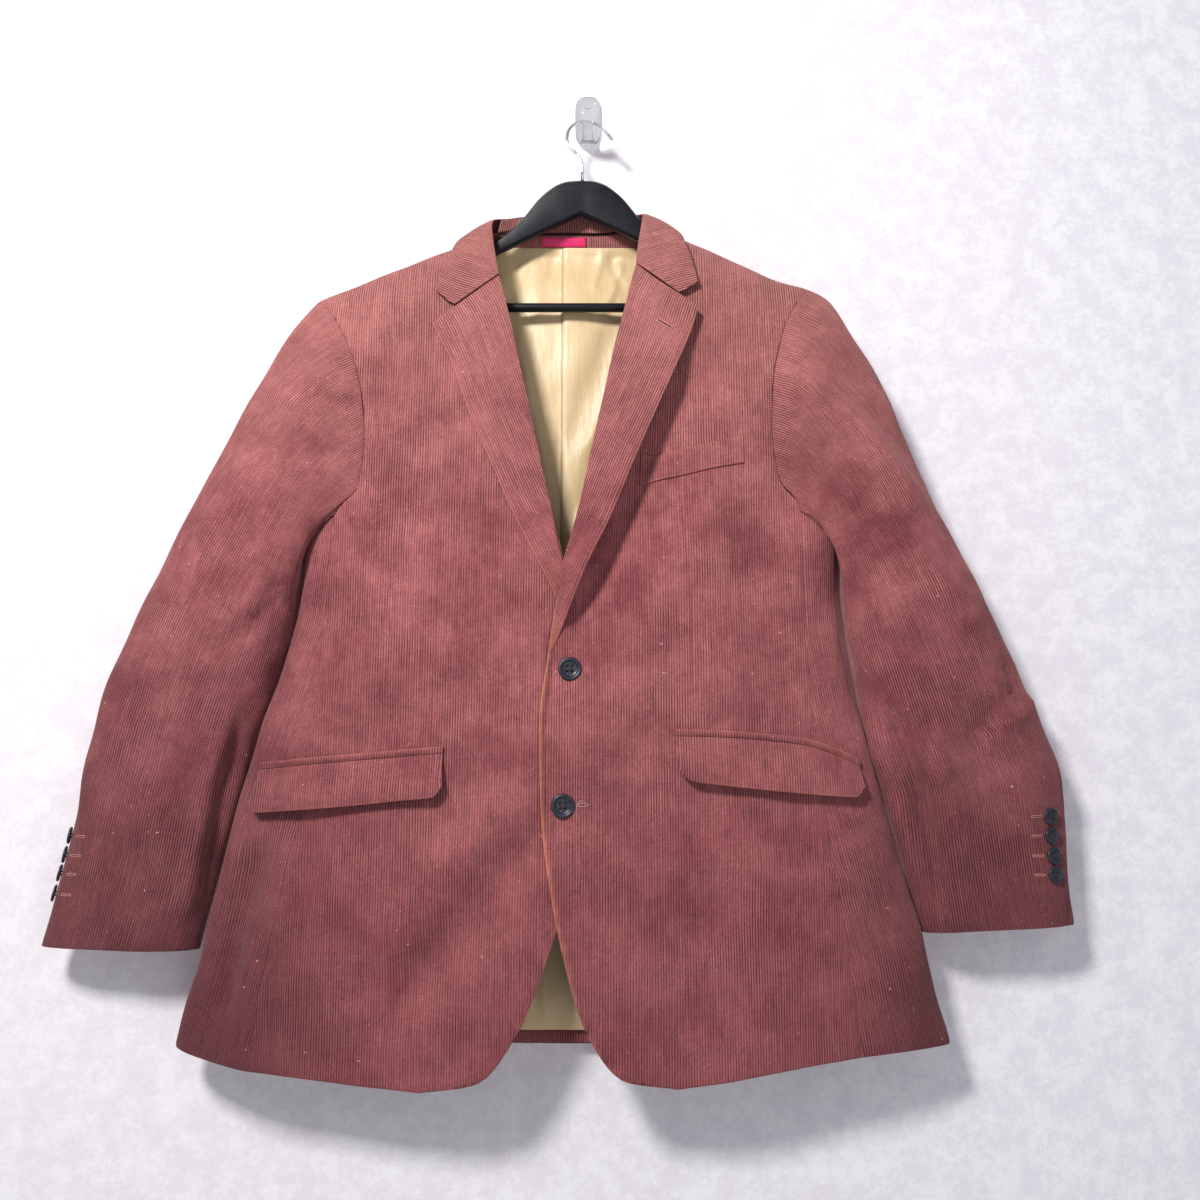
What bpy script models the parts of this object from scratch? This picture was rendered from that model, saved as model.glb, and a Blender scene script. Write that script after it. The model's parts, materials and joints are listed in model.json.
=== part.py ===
"""A two-button corduroy jacket on its hanger, on a clear hook stuck to a wall.

The cloth is a set of thin walls. Body, shoulders and sleeves are worked out from short tables
of sections, and each piece that a tailor would cut is one stretch of those surfaces.
Lengths in this script are millimetres, and each object is scaled to metres as it is made.
+X is the viewer's right, +Z is up, and depth is counted from the wall at Y = 0 towards -Y.
Left and right in names are the wearer's: the right front lies at -X.
The origin is the middle of the wall hook's flat back.
"""

import math

import bmesh
import bpy
import numpy as np
from mathutils import Vector

MM = 0.001

# Cloth
CLOTH = 2.0  # a wall of corduroy
THIN = 1.2  # a wall of lining
SEAM = 0.3  # between pieces that are sewn together
LAID = 0.35  # between a piece and the panel it lies on
POCKET_GAP = 0.9  # under pocket pieces, which cross the seam between front and side panel
LINING_GAP = 1.3  # between the back and what hangs inside it

# Body
SQUARENESS = 2.6  # exponent of the body's ring: 2 is an ellipse
SIDE_DEPTH = 42.0  # where the ring turns from front to back
RIDGE_DEPTH = 38.0  # the top line of the shoulders
FRONT_ROLL = 50.0  # height over which the front turns back to the ridge
BACK_ROLL = 40.0
OVERLAP_LIFT = 5.2  # how far the left front lies over the right one
OVERLAP_REACH = 120.0  # how far from its edge the left front sinks back to the body's ring
CENTRE_BACK = -19.0
NECK_CENTRE = -15.0
NECK_HALF_WIDTH = 79.0
NECK_DROP = 35.0  # of the back neck under the shoulder line, along the cloth

# How finely the walls are divided
FRONT_COLUMNS, BACK_COLUMNS, SIDE_COLUMNS = 13, 9, 6
ROWS_BELOW_ARM, ROWS_ABOVE_ARM = 12, 11
SLEEVE_ROWS = 18

# Sleeves
SLEEVE_SQUARENESS = 2.3
ARMHOLE_BLEND = 3.0  # sections over which a sleeve leaves the armhole's shape
UNDERARM = -402.0  # below this height a sleeve hangs outside the body
SLEEVE_ROOM = 2.0  # between a hanging sleeve and the body
UNDERARM_STEP = 0.6  # from the side panel's face out to the sleeve's edge under the arm
FOLD_THICKNESS = 1.1  # of the sleeve's wall where it is folded sharply under the arm

# Buttons
FRONT_BUTTON = 20.5  # 32 ligne
SLEEVE_BUTTON = 15.0  # 24 ligne
BUTTON_SHANK = 0.5  # of thread between a button and the cloth

# Hanger and wall hook
HANGER_DEPTH = 38.0
HANGER_THICKNESS = 9.0
HANGER_CENTRE = -6.0
NECK_OF_HANGER = 80.0  # from the middle out, the stretch whose outline curves
BAR_DIAMETER = 8.6
BAR_HEIGHT = -208.5
BAR_HALF = 183.7
WIRE_DIAMETER = 3.6
WIRE_STEPS = 24
HOOK_THICKNESS = 3.0
PLATE_ROWS = 6  # sections of the wall hook that lie flat on the wall

COLOURS = {  # base colour, roughness, metallic, transmission
    "corduroy": ((0.18, 0.055, 0.035), 0.9, 0.0, 0.0),
    "lining_satin": ((0.62, 0.45, 0.18), 0.35, 0.0, 0.0),
    "label_cloth": ((0.55, 0.03, 0.10), 0.6, 0.0, 0.0),
    "button_dark": ((0.01, 0.012, 0.022), 0.3, 0.0, 0.0),
    "hanger_black": ((0.012, 0.012, 0.015), 0.4, 0.0, 0.0),
    "chrome": ((0.8, 0.8, 0.82), 0.15, 1.0, 0.0),
    "clear_plastic": ((0.95, 0.95, 0.95), 0.05, 0.0, 0.9),
}


def table(columns, *rows):
    """A short table with named columns."""
    return {name: np.array([row[i] for row in rows], float) for i, name in enumerate(columns.split())}


def read(rows, name, key, at):
    """The column name where the column key is at, on a smooth curve that never overshoots."""
    x, y = rows[key], rows[name]
    step = np.diff(x)
    slope = np.diff(y) / step
    turning = slope[1:] * slope[:-1] <= 0
    mean = 2 * slope[1:] * slope[:-1] / np.where(turning, 1, slope[1:] + slope[:-1])
    tangent = np.concatenate([slope[:1], np.where(turning, 0, mean), slope[-1:]])
    at = np.clip(at, x[0], x[-1])
    i = np.clip(np.searchsorted(x, at) - 1, 0, len(x) - 2)
    t = (at - x[i]) / step[i]
    ends = (1 + 2 * t) * (1 - t) ** 2 * y[i] + t * t * (3 - 2 * t) * y[i + 1]
    return ends + step[i] * t * (1 - t) * ((1 - t) * tangent[i] - t * tangent[i + 1])


def read_row(rows, at):
    """Every column of a table at a row number, which may lie between two rows."""
    numbered = dict(rows, row=np.arange(len(next(iter(rows.values()))), dtype=float))
    return {name: read(numbered, name, "row", at) for name in rows}


def ease(t):
    t = np.clip(t, 0, 1)
    return t * t * (3 - 2 * t)


def unit(vectors):
    return vectors / np.maximum(np.linalg.norm(vectors, axis=-1, keepdims=True), 1e-9)


# --- The body: a ring for each height ---------------------------------------------------------

BODY = table(
    "height right left front back",
    (-910, -361, 320, 83, 11),
    (-868, -353, 311, 84, 11),
    (-780, -331, 290, 86, 10),
    (-700, -313, 269, 87, 10),
    (-620, -294, 249, 86, 9),
    (-560, -275, 235, 84, 9),
    (-500, -259, 226, 81, 9),
    (-400, -254, 225, 76, 10),
    (-300, -266, 240, 71, 11),
    (-200, -284, 252, 66, 12),
    (-100, -286, 254, 62, 13),
)

RIDGE = table(  # the shoulder line, with the space that the neck takes
    "x height",
    (-262, -206),
    (-251, -202),
    (-194, -179.6),
    (-152, -161.8),
    (-120, -148.5),
    (-93, -135),
    (-60, -119),
    (-19, -113),
    (22, -117),
    (40, -119),
    (60, -124),
    (76, -134.5),
    (92, -144.5),
    (123, -158),
    (184, -183.5),
    (207, -191),
    (222, -196),
)


def ring_share(x, height):
    """How far towards the front or back the ring stands at x: 1 in the middle, 0 at the side."""
    right, left = (read(BODY, side, "height", height) for side in ("right", "left"))
    across = np.abs(x - (right + left) / 2) / ((left - right) / 2)
    return (1 - np.clip(across, 0, 1) ** SQUARENESS) ** (1 / SQUARENESS)


def face_depth(x, height, face):
    """Depth of the ring's front or back face."""
    return SIDE_DEPTH + (read(BODY, face, "height", height) - SIDE_DEPTH) * ring_share(x, height)


def roll_of(face):
    return FRONT_ROLL if face == "front" else BACK_ROLL


def cloth_height(x, height, face):
    """Height along the cloth, 0 at the shoulder line, for a point seen at this height."""
    roll = roll_of(face)
    above = height - (read(RIDGE, "height", "x", x) - roll)
    turned = np.arcsin(np.clip(above / roll, 0, 1))
    return np.where(above > 0, roll * turned, above) - roll * math.pi / 2


def body_point(x, cloth, face, lift=0.0):
    """The point of the front or back at x, this far along the cloth from the shoulder line."""
    roll = roll_of(face)
    quarter = roll * math.pi / 2
    start = read(RIDGE, "height", "x", x) - roll
    turned = np.maximum(cloth + quarter, 0) / roll
    height = start + np.where(cloth > -quarter, roll * np.sin(turned), cloth + quarter)
    depth = RIDGE_DEPTH + (face_depth(x, height, face) + lift - RIDGE_DEPTH) * np.cos(turned)
    return np.stack([x, -depth, height], -1)


def placed(x, height, face="front", lift=0.0):
    """The point of the front or back that is seen at x and this height."""
    return body_point(x, cloth_height(x, height, face), face, lift)


# --- Walls ------------------------------------------------------------------------------------


def normals(surface, u, v):
    """Unit normals of surface(u, v), from points a little way off on each side."""
    near = 0.004
    along_u = surface(u + near, v) - surface(u - near, v)
    along_v = surface(u, v + near) - surface(u, v - near)
    return unit(np.cross(along_u, along_v))


def finish_mesh(name, mesh, material):
    bmesh.ops.recalc_face_normals(mesh, faces=mesh.faces)
    if mesh.calc_volume(signed=True) < 0:
        bmesh.ops.reverse_faces(mesh, faces=mesh.faces)
    data = bpy.data.meshes.new(name)
    mesh.to_mesh(data)
    mesh.free()
    return add_object(name, data, material)


def add_object(name, data, material):
    obj = bpy.data.objects.new(name, data)
    data.materials.append(bpy.data.materials[material])
    bpy.data.collections["corduroy_jacket"].objects.link(obj)
    return obj


def wall_between(name, outer, inner, material="corduroy"):
    """A closed wall, lofted between two grids of points."""
    rows, columns, _ = outer.shape
    mesh = bmesh.new()
    sheets = [[[mesh.verts.new(p * MM) for p in row] for row in sheet] for sheet in (outer, inner)]
    for sheet in sheets:
        for r in range(rows - 1):
            for c in range(columns - 1):
                mesh.faces.new((sheet[r][c], sheet[r][c + 1], sheet[r + 1][c + 1], sheet[r + 1][c]))
    rim = [(0, c) for c in range(columns)] + [(r, columns - 1) for r in range(1, rows)]
    rim += [(rows - 1, c) for c in range(columns - 2, -1, -1)] + [(r, 0) for r in range(rows - 2, 0, -1)]
    for (r, c), (s, d) in zip(rim, rim[1:] + rim[:1]):
        mesh.faces.new((sheets[0][r][c], sheets[1][r][c], sheets[1][s][d], sheets[0][s][d]))
    return finish_mesh(name, mesh, material)


def wall(name, surface, across, along, start, thickness=CLOTH, outward=1, material="corduroy"):
    """A wall on surface(u, v) at these u and v, from start to start + thickness out from it.

    outward is 1 where the surface's normals point out of the garment, and -1 where they point in.
    """
    u, v = np.meshgrid(across, along)
    points = surface(u, v)
    out = normals(surface, u, v) * outward
    return wall_between(name, points + out * (start + thickness), points + out * start, material)


def loft(name, rings, material):
    """A closed solid through rings of the same number of points, with a face at each end."""
    mesh = bmesh.new()
    loops = [[mesh.verts.new(Vector(p) * MM) for p in ring] for ring in rings]
    for one, two in zip(loops, loops[1:]):
        for i in range(len(one)):
            j = (i + 1) % len(one)
            mesh.faces.new((one[i], one[j], two[j], two[i]))
    mesh.faces.new(loops[0])
    mesh.faces.new(loops[-1])
    return finish_mesh(name, mesh, material)


def steps(count, last=1.0):
    return np.linspace(0, last, count + 1)


# --- Fronts, backs and side panels ------------------------------------------------------------

EDGES = "outer_x outer_z inner_x inner_z"
ARM_ROW = 7  # of a front or back table: the underarm, where the armhole begins
STRAIGHT_ROW = 9  # up to here a row runs straight as it is seen, and the last rows along the cloth

FRONTS = {  # rows from hem to shoulder; the outer edge is the side seam and then the armhole
    "right": table(
        EDGES,
        (-284, -887, -138, -903),
        (-273, -825, -92, -896.5),
        (-260, -755, -55, -853),
        (-245, -670, -9, -712),
        (-236, -590, 3, -630),
        (-233, -520, 4, -555),
        (-230, -460, -12, -490),
        (-226, -412, -27, -425),
        (-206, -388, -38, -380),
        (-200.5, -345, -48, -333),
        (-205, -298, -58.5, -285),
        (-220, -250, -70, -232),
        (-242, -214, -81, -188),
        (-249, -204.5, -87, -160),
        (-251, -202, -93, -135),
    ),
    "left": table(
        EDGES,
        (232, -876, 76, -900.2),
        (226, -820, 34, -893.8),
        (217, -755, 0, -853),
        (207, -690, -29, -745),
        (199, -610, -38, -675),
        (194.5, -540, -40, -600),
        (193, -480, -33, -540),
        (192, -410, -21, -463),
        (173, -380, -9, -419),
        (166.5, -335, 4, -355),
        (169, -288, 18, -292),
        (180, -240, 31, -235),
        (199, -203, 44, -181),
        (205, -194, 53, -155),
        (207, -191, 64, -126.5),
    ),
}

BACKS = {
    "right": table(
        EDGES,
        (-300, -876, CENTRE_BACK, -878),
        (-287, -815, CENTRE_BACK, -820),
        (-272, -750, CENTRE_BACK, -752),
        (-254, -670, CENTRE_BACK, -670),
        (-243, -590, CENTRE_BACK, -590),
        (-238, -520, CENTRE_BACK, -520),
        (-236, -460, CENTRE_BACK, -455),
        (-234, -412, CENTRE_BACK, -405),
        (-217, -388, CENTRE_BACK, -363),
        (-209, -345, CENTRE_BACK, -311),
        (-211, -298, CENTRE_BACK, -256),
        (-223, -250, CENTRE_BACK, -204),
        (-241, -213, CENTRE_BACK, -157),
        (-249, -203.5, CENTRE_BACK, -123.6),
        (-251, -202, CENTRE_BACK, -113),
    ),
    "left": table(
        EDGES,
        (262, -876, CENTRE_BACK, -878),
        (249, -815, CENTRE_BACK, -820),
        (234, -750, CENTRE_BACK, -752),
        (221, -670, CENTRE_BACK, -670),
        (210, -590, CENTRE_BACK, -590),
        (204, -520, CENTRE_BACK, -520),
        (202, -460, CENTRE_BACK, -455),
        (200, -412, CENTRE_BACK, -405),
        (182, -380, CENTRE_BACK, -363),
        (173, -335, CENTRE_BACK, -311),
        (175, -288, CENTRE_BACK, -256),
        (185, -240, CENTRE_BACK, -204),
        (200, -202, CENTRE_BACK, -157),
        (205, -193.5, CENTRE_BACK, -123.6),
        (207, -191, CENTRE_BACK, -113),
    ),
}

SIDE_RISE = {  # how far the middle of a side panel lies over a straight line, at each row
    "right": (10, 4, 0, 0, 0, 0, -3, -12),
    "left": (6, 3, 0, 0, 0, 0, -3, -12),
}


def panel(rows, face, lift=None, drop=None, gap=SEAM / 2):
    """surface(u, row) of a front or back: from its outer edge at u = 0 to its inner at u = 1."""
    walked = dict(rows)
    for side in ("outer", "inner"):
        walked[side + "_w"] = cloth_height(walked[side + "_x"], walked[side + "_z"], face)

    def surface(u, row):
        at = read_row(walked, row)
        inset = gap * (1 - 2 * u) * np.sign(at["inner_x"] - at["outer_x"])
        x = at["outer_x"] + (at["inner_x"] - at["outer_x"]) * u + inset
        seen = cloth_height(x, at["outer_z"] + (at["inner_z"] - at["outer_z"]) * u, face)
        cloth = at["outer_w"] + (at["inner_w"] - at["outer_w"]) * u
        cloth = seen + (cloth - seen) * ease((row - STRAIGHT_ROW) / (2 * ARM_ROW - 1 - STRAIGHT_ROW))
        if drop:
            cloth = cloth - drop(x, row)
        return body_point(x, cloth, face, lift(x) if lift else 0.0)

    return surface


def overlap_lift(x):
    """The left front lies over the right one along the front edge."""
    return OVERLAP_LIFT * (1 - ease((x + 40) / OVERLAP_REACH))


def neck_drop(x):
    """How far the back neck is cut below the shoulder line, along the cloth."""
    across = np.clip(np.abs(x - NECK_CENTRE) / NECK_HALF_WIDTH, 0, 1)
    return NECK_DROP * (1 - across**2.5)


def back_drop(x, row):
    return neck_drop(x) * ease((row - ARM_ROW) / ARM_ROW) + SEAM * row / (2 * ARM_ROW)


def front_surface(side, gap=SEAM / 2):
    return panel(FRONTS[side], "front", overlap_lift if side == "left" else None, gap=gap)


def back_surface(side, gap=SEAM / 2):
    return panel(BACKS[side], "back", drop=back_drop, gap=gap)


def ring_turn(x, height):
    """Where x lies on the ring's front half: 0 at the left side, pi at the right side."""
    right, left = (read(BODY, side, "height", height) for side in ("right", "left"))
    across = (x - (right + left) / 2) / ((left - right) / 2)
    return np.arccos(np.clip(np.sign(across) * np.abs(across) ** (SQUARENESS / 2), -1, 1))


def side_surface(side):
    """surface(u, row) under the arm, round the ring from the front's edge to the back's."""
    front, back = front_surface(side, 0.0), back_surface(side, 0.0)
    rise = {"rise": np.array(SIDE_RISE[side], float)}

    def surface(u, row):
        start, end = front(0 * u, row), back(0 * u, row)
        height = start[..., 2] + (end[..., 2] - start[..., 2]) * u
        height = height + read_row(rise, row)["rise"] * 4 * u * (1 - u)
        turn = ring_turn(start[..., 0], height)
        end_turn = 2 * math.pi - ring_turn(end[..., 0], height)
        if side == "left":
            end_turn = end_turn - 2 * math.pi
        inset = SEAM / 2 / 60 * (1 - 2 * u) * np.sign(end_turn - turn)
        turn = turn + (end_turn - turn) * u + inset
        right, left, fore, aft = (read(BODY, c, "height", height) for c in ("right", "left", "front", "back"))
        across = np.sign(np.cos(turn)) * np.abs(np.cos(turn)) ** (2 / SQUARENESS)
        through = np.abs(np.sin(turn)) ** (2 / SQUARENESS)
        depth = SIDE_DEPTH + (np.where(np.sin(turn) > 0, fore, aft) - SIDE_DEPTH) * through
        return np.stack([(right + left) / 2 + (left - right) / 2 * across, -depth, height], -1)

    return surface


def panel_rows():
    below = np.linspace(0, ARM_ROW, ROWS_BELOW_ARM + 1)
    above = np.linspace(ARM_ROW, 2 * ARM_ROW, ROWS_ABOVE_ARM + 1)
    return below, np.concatenate([below, above[1:]])


def make_body():
    below, rows = panel_rows()
    for side in ("right", "left"):
        outward = 1 if side == "right" else -1
        wall(side + "_front", front_surface(side), steps(FRONT_COLUMNS), rows, -CLOTH, outward=outward)
        wall(side + "_back", back_surface(side), steps(BACK_COLUMNS), rows, -CLOTH, outward=-outward)
        wall(side + "_side_panel", side_surface(side), steps(SIDE_COLUMNS), below, -CLOTH, outward=-outward)


# --- Sleeves ----------------------------------------------------------------------------------

SLEEVES = {  # from the armhole to the cuff; bow bends a section round the body's side
    "right": table(
        "outer_x outer_z inner_x inner_z depth half bow twist",
        (-251, -202, -255, -424, 40, 26, 50, 0),
        (-266, -220, -256.5, -436, 41, 31, 44, 0),
        (-286, -252, -257.5, -450, 42, 34, 36, 0),
        (-313, -301, -258.5, -470, 42, 36, 27, 1),
        (-344, -370, -263, -498, 41, 37, 17, 3),
        (-374, -433, -271.5, -537, 40, 37, 9, 6),
        (-405, -502, -284, -578, 39, 36, 3, 9),
        (-429, -566, -297, -620, 38, 34, 0, 11),
        (-444, -625, -309, -672, 37, 31, 0, 13),
        (-455, -700, -323, -727, 36, 28, 0, 14),
        (-475, -790, -337, -794, 36, 25, 0, 15),
    ),
    "left": table(
        "outer_x outer_z inner_x inner_z depth half bow twist",
        (207, -191, 226.5, -424, 40, 26, 50, 0),
        (226, -203, 227.5, -436, 41, 31, 44, 0),
        (247, -236, 228.5, -450, 42, 34, 36, 0),
        (275, -292, 229, -470, 42, 36, 27, 1),
        (302, -357, 230.5, -498, 41, 37, 17, 3),
        (335, -436, 235, -535, 40, 37, 9, 6),
        (372, -515, 243, -576, 39, 36, 3, 9),
        (402, -592, 253, -622, 38, 34, 0, 11),
        (423, -655, 266, -672, 37, 31, 0, 13),
        (422.5, -715, 280, -724, 36, 28, 0, 14),
        (427, -772, 292, -778.5, 36, 25, 0, 15),
    ),
}


def armhole(side):
    """The armhole's points in order from the shoulder point round the front, with the body's normals.

    They stand one seam off the front, side and back panels.
    """
    front, back, under = front_surface(side, 0.0), back_surface(side, 0.0), side_surface(side)
    down = np.linspace(2 * ARM_ROW, ARM_ROW, ROWS_ABOVE_ARM + 1)
    across = steps(SIDE_COLUMNS)[1:-1]
    outward = 1 if side == "right" else -1
    stretches = (
        (front, 0 * down, down, (-0.01, 0), outward),
        (under, across, 0 * across + ARM_ROW, (0, 0.01), -outward),
        (back, 0 * down[:-1], down[:0:-1], (-0.01, 0), -outward),
    )
    points, out = [], []
    for surface, u, row, (du, dv), sign in stretches:
        normal = normals(surface, u, row) * sign
        here = surface(u, row)
        off = unit(surface(u + du, row + dv * 0) - here) if du else np.broadcast_to((0.0, 0.0, 1.0), here.shape)
        shift = off * SEAM + normal * UNDERARM_STEP * (du == 0)
        points.append(here + shift)
        out.append(normal)
    return np.concatenate(points), np.concatenate(out)


def around(points):
    """How far round a closed line each point lies, from 0 to 2 pi, with the underarm at pi."""
    length = np.concatenate([[0], np.cumsum(np.linalg.norm(np.diff(points, axis=0), axis=1))])
    close = length[-1] + np.linalg.norm(points[0] - points[-1])
    middle = ROWS_ABOVE_ARM + SIDE_COLUMNS / 2
    half = np.interp(middle, np.arange(len(length)), length)
    return np.where(length < half, math.pi * length / half, math.pi * (1 + (length - half) / (close - half)))


def sleeve_section(side, turn, along):
    """The sleeve's surface: turn goes from the outer edge round the front, along is the section."""
    at = read_row(SLEEVES[side], along)
    turn = turn + np.radians(at["twist"])
    run = np.stack([at["outer_x"] - at["inner_x"], 0 * turn, at["outer_z"] - at["inner_z"]], -1) / 2
    middle = np.stack([at["outer_x"] + at["inner_x"], -2 * at["depth"], at["outer_z"] + at["inner_z"]], -1) / 2
    flat = 2 / SLEEVE_SQUARENESS
    across = np.sign(np.cos(turn)) * np.abs(np.cos(turn)) ** flat
    through = np.sign(np.sin(turn)) * np.abs(np.sin(turn)) ** flat
    reach = unit(run)
    to_body = reach[..., [2, 1, 0]] * ((1, 0, -1) if side == "right" else (-1, 0, 1))
    forward = np.array((0.0, -1.0, 0.0))
    bend = (at["bow"] * np.sin(turn) ** 2)[..., None] * to_body
    return middle + run * across[..., None] + forward * (at["half"] * through)[..., None] + bend


def hung_outside(points, room):
    """The points, with those below the armhole moved out to leave this room round the body."""
    height = points[..., 2]
    right, left, front, back = (read(BODY, size, "height", height) for size in ("right", "left", "front", "back"))
    depth = -points[..., 1] - SIDE_DEPTH
    half, deep = (left - right) / 2, np.where(depth > 0, front - SIDE_DEPTH, SIDE_DEPTH - back)
    across, through = (points[..., 0] - (right + left) / 2) / half, depth / deep
    size = (np.abs(across) ** SQUARENESS + np.abs(through) ** SQUARENESS) ** (1 / SQUARENESS)
    power = SQUARENESS - 1
    steep_x = np.sign(across) * np.abs(across / size) ** power / half
    steep_y = -np.sign(through) * np.abs(through / size) ** power / deep
    steep = np.stack([steep_x, steep_y, 0 * size], -1)
    distance = (size - 1) / np.linalg.norm(steep, axis=-1)
    push = np.maximum(room - distance, 0) * ease((UNDERARM - height) / 12)
    return points + unit(steep) * push[..., None]


def sleeve_grid(side):
    """Outer and inner points of the whole sleeve, a row for each section and a column round it."""
    ring, body_normals = armhole(side)
    turn = around(ring)
    along = np.linspace(0, len(SLEEVES[side]["half"]) - 1, SLEEVE_ROWS + 1)
    turns, sections = np.meshgrid(turn, along)
    outer = sleeve_section(side, turns, sections)
    start = ring - outer[0]
    outer = outer + start * (np.clip(1 - sections / ARMHOLE_BLEND, 0, 1) ** 2)[..., None]
    outer[1:] = hung_outside(outer[1:], SLEEVE_ROOM)
    across = np.roll(outer, -1, axis=1) - np.roll(outer, 1, axis=1)
    down = np.gradient(outer, axis=0)
    out = unit(np.cross(across, down)) * (-1 if side == "right" else 1)
    # Where the sleeve runs on from the body its edge is cut square to the body's face,
    # and where it folds down under the arm its wall starts thinner.
    level = ease((np.sum(out[0] * body_normals, axis=-1) + 0.2) / 0.9)[:, None]
    out[0] = unit(out[0] * (1 - level) + body_normals * level)
    thin = (CLOTH - FOLD_THICKNESS) * (1 - level) * np.clip(1 - along / 2, 0, 1)[:, None, None]
    return outer, outer - out * (CLOTH - thin)


def split_sleeve(side, grids, first, last):
    """The stretch of the sleeve between two seams, drawn in by half a seam at each."""
    columns = np.arange(first, last + 1) % grids[0].shape[1]
    pieces = [points[:, columns].copy() for points in grids]
    for points in pieces:
        for edge, inside in ((0, 1), (-1, -2)):
            points[:, edge] += unit(points[:, inside] - points[:, edge]) * SEAM / 2
    return pieces


def make_sleeves():
    front_seam = ROWS_ABOVE_ARM + 2
    for side in ("right", "left"):
        grids = sleeve_grid(side)
        columns = grids[0].shape[1]
        back_seam = columns - 1
        wall_between(side + "_top_sleeve", *split_sleeve(side, grids, back_seam - columns, front_seam))
        wall_between(side + "_under_sleeve", *split_sleeve(side, grids, front_seam, back_seam))


# --- Lapels and collar ------------------------------------------------------------------------

LAPELS = {  # from the break to the gorge: the roll line and the lapel's outer edge
    "right": table(
        EDGES,
        (-32, -478, -25.5, -475),
        (-39, -466, -26.5, -463),
        (-65.5, -413, -31.5, -408),
        (-86, -366, -41, -365),
        (-106, -320, -51, -318),
        (-124, -270, -61.5, -272),
        (-134.5, -249, -70, -232),
        (-141.3, -236, -81, -188.3),
    ),
    "left": table(
        EDGES,
        (-23, -505, -30, -510),
        (0, -464, -22, -466),
        (21, -420, -9.5, -420),
        (43, -366, 3, -364),
        (66, -312, 14, -310),
        (89, -259, 25, -258),
        (97, -238, 34, -222),
        (101.4, -223.5, 45, -177.9),
    ),
}
LAPEL_LIFT = {"right": 2.5, "left": 5.0}  # how far a lapel's outer edge stands off the front

COLLAR = table(  # round the neck from the right gorge to the left one
    "fold_x fold_depth fold_z edge_x edge_depth edge_z bend",
    (-81, 69.5, -187.6, -138.6, 71, -203, -19.7),
    (-84, 67, -171, -133, 68.5, -181, -7),
    (-87, 61.5, -153, -126.5, 63.5, -164, 0),
    (-90, 48, -128.5, -121.5, 50.5, -146, 0),
    (-88, 35, -118.5, -110, 36, -137.5, 0),
    (-76, 24, -113, -94, 16.5, -144, 0),
    (-52, 16, -107, -62, 9.5, -153, 0),
    (-18, 13.5, -104.5, -18, 9, -156, 0),
    (16, 15.5, -104.8, 26, 9.5, -152, 0),
    (41, 23.5, -109.2, 58, 14, -141, 0),
    (53.5, 35, -113.6, 80, 34, -132, 0),
    (52.5, 47, -121, 88, 50, -141.5, 0),
    (50, 61, -139, 91, 63.5, -155, 0),
    (47, 67.5, -159, 96.5, 69.5, -175, -5),
    (45, 69.8, -177.2, 101.4, 73, -197.3, -16.8),
)
NOTCH = 0.69  # of the way along the collar's end, where the bend is deepest
COLLAR_CROWN = 2.0  # how far the middle of the collar stands over a straight line

STAND = table(  # the part of the collar stand that shows, from the back neck's edge to its top
    "low_x top_x top_depth top_z",
    (-86, -82, 36, -120.8),
    (-80, -75, 30.5, -117),
    (-68, -66, 24.5, -114.3),
    (-50, -50, 20.5, -110.2),
    (-18, -18, 18.2, -107.8),
    (14, 14, 20.5, -108),
    (30, 30, 24.5, -111),
    (42, 39, 29, -113.2),
    (53, 48.5, 34, -117.5),
)
STAND_RISE = 2.0  # of the stand's foot over the back neck's inner edge


def lapel_surface(side):
    rows = LAPELS[side]
    lift = overlap_lift if side == "left" else (lambda x: 0.0 * x)

    def surface(u, row):
        at = read_row(rows, row)
        x = at["outer_x"] + (at["inner_x"] - at["outer_x"]) * u
        height = at["outer_z"] + (at["inner_z"] - at["outer_z"]) * u
        return placed(x, height, lift=lift(x) + LAPEL_LIFT[side] * ease(1 - u))

    return surface


def collar_surface(u, station):
    """The collar's fall, from the fold at u = 0 to its outer edge at u = 1."""
    at = read_row(COLLAR, station)
    fold = np.stack([at["fold_x"], -at["fold_depth"], at["fold_z"]], -1)
    edge = np.stack([at["edge_x"], -at["edge_depth"], at["edge_z"]], -1)
    point = fold + (edge - fold) * u[..., None]
    bend = at["bend"] * np.where(u < NOTCH, u / NOTCH, (1 - u) / (1 - NOTCH))
    middle = np.stack([CENTRE_BACK + 0 * u, -RIDGE_DEPTH + 0 * u, -170 + 0 * u], -1)
    crown = COLLAR_CROWN * 4 * u * (1 - u)
    point = point + unit(point - middle) * crown[..., None]
    return point + np.stack([0 * bend, 0 * bend, bend], -1)


def neck_edge(x, down):
    """A point of the back, this far down the cloth from the neck's edge."""
    return body_point(x, -neck_drop(x) - down, "back")


def stand_surface(u, station):
    """The stand's inner face, which stands on the back neck's inner edge."""
    at = read_row(STAND, station)
    out = unit(np.cross(neck_edge(at["low_x"], 1) - neck_edge(at["low_x"], 0), (1.0, 0.0, 0.0)))
    low = neck_edge(at["low_x"], 0) + out * CLOTH + (0, 0, STAND_RISE)
    top = np.stack([at["top_x"], -at["top_depth"], at["top_z"]], -1)
    return low + (top - low) * u[..., None]


def make_collar():
    for side in ("right", "left"):
        outward = 1 if side == "right" else -1
        wall(side + "_lapel", lapel_surface(side), steps(5), steps(14, 7), LAID, outward=outward)
    across = np.array([0, 0.25, 0.48, NOTCH, 0.86, 1.0])
    wall("collar", collar_surface, across, steps(28, 14), -CLOTH, outward=-1)
    wall("collar_stand", stand_surface, steps(1), steps(16, 8), 0.0)


# --- Inside the back, where it shows ----------------------------------------------------------

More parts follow.
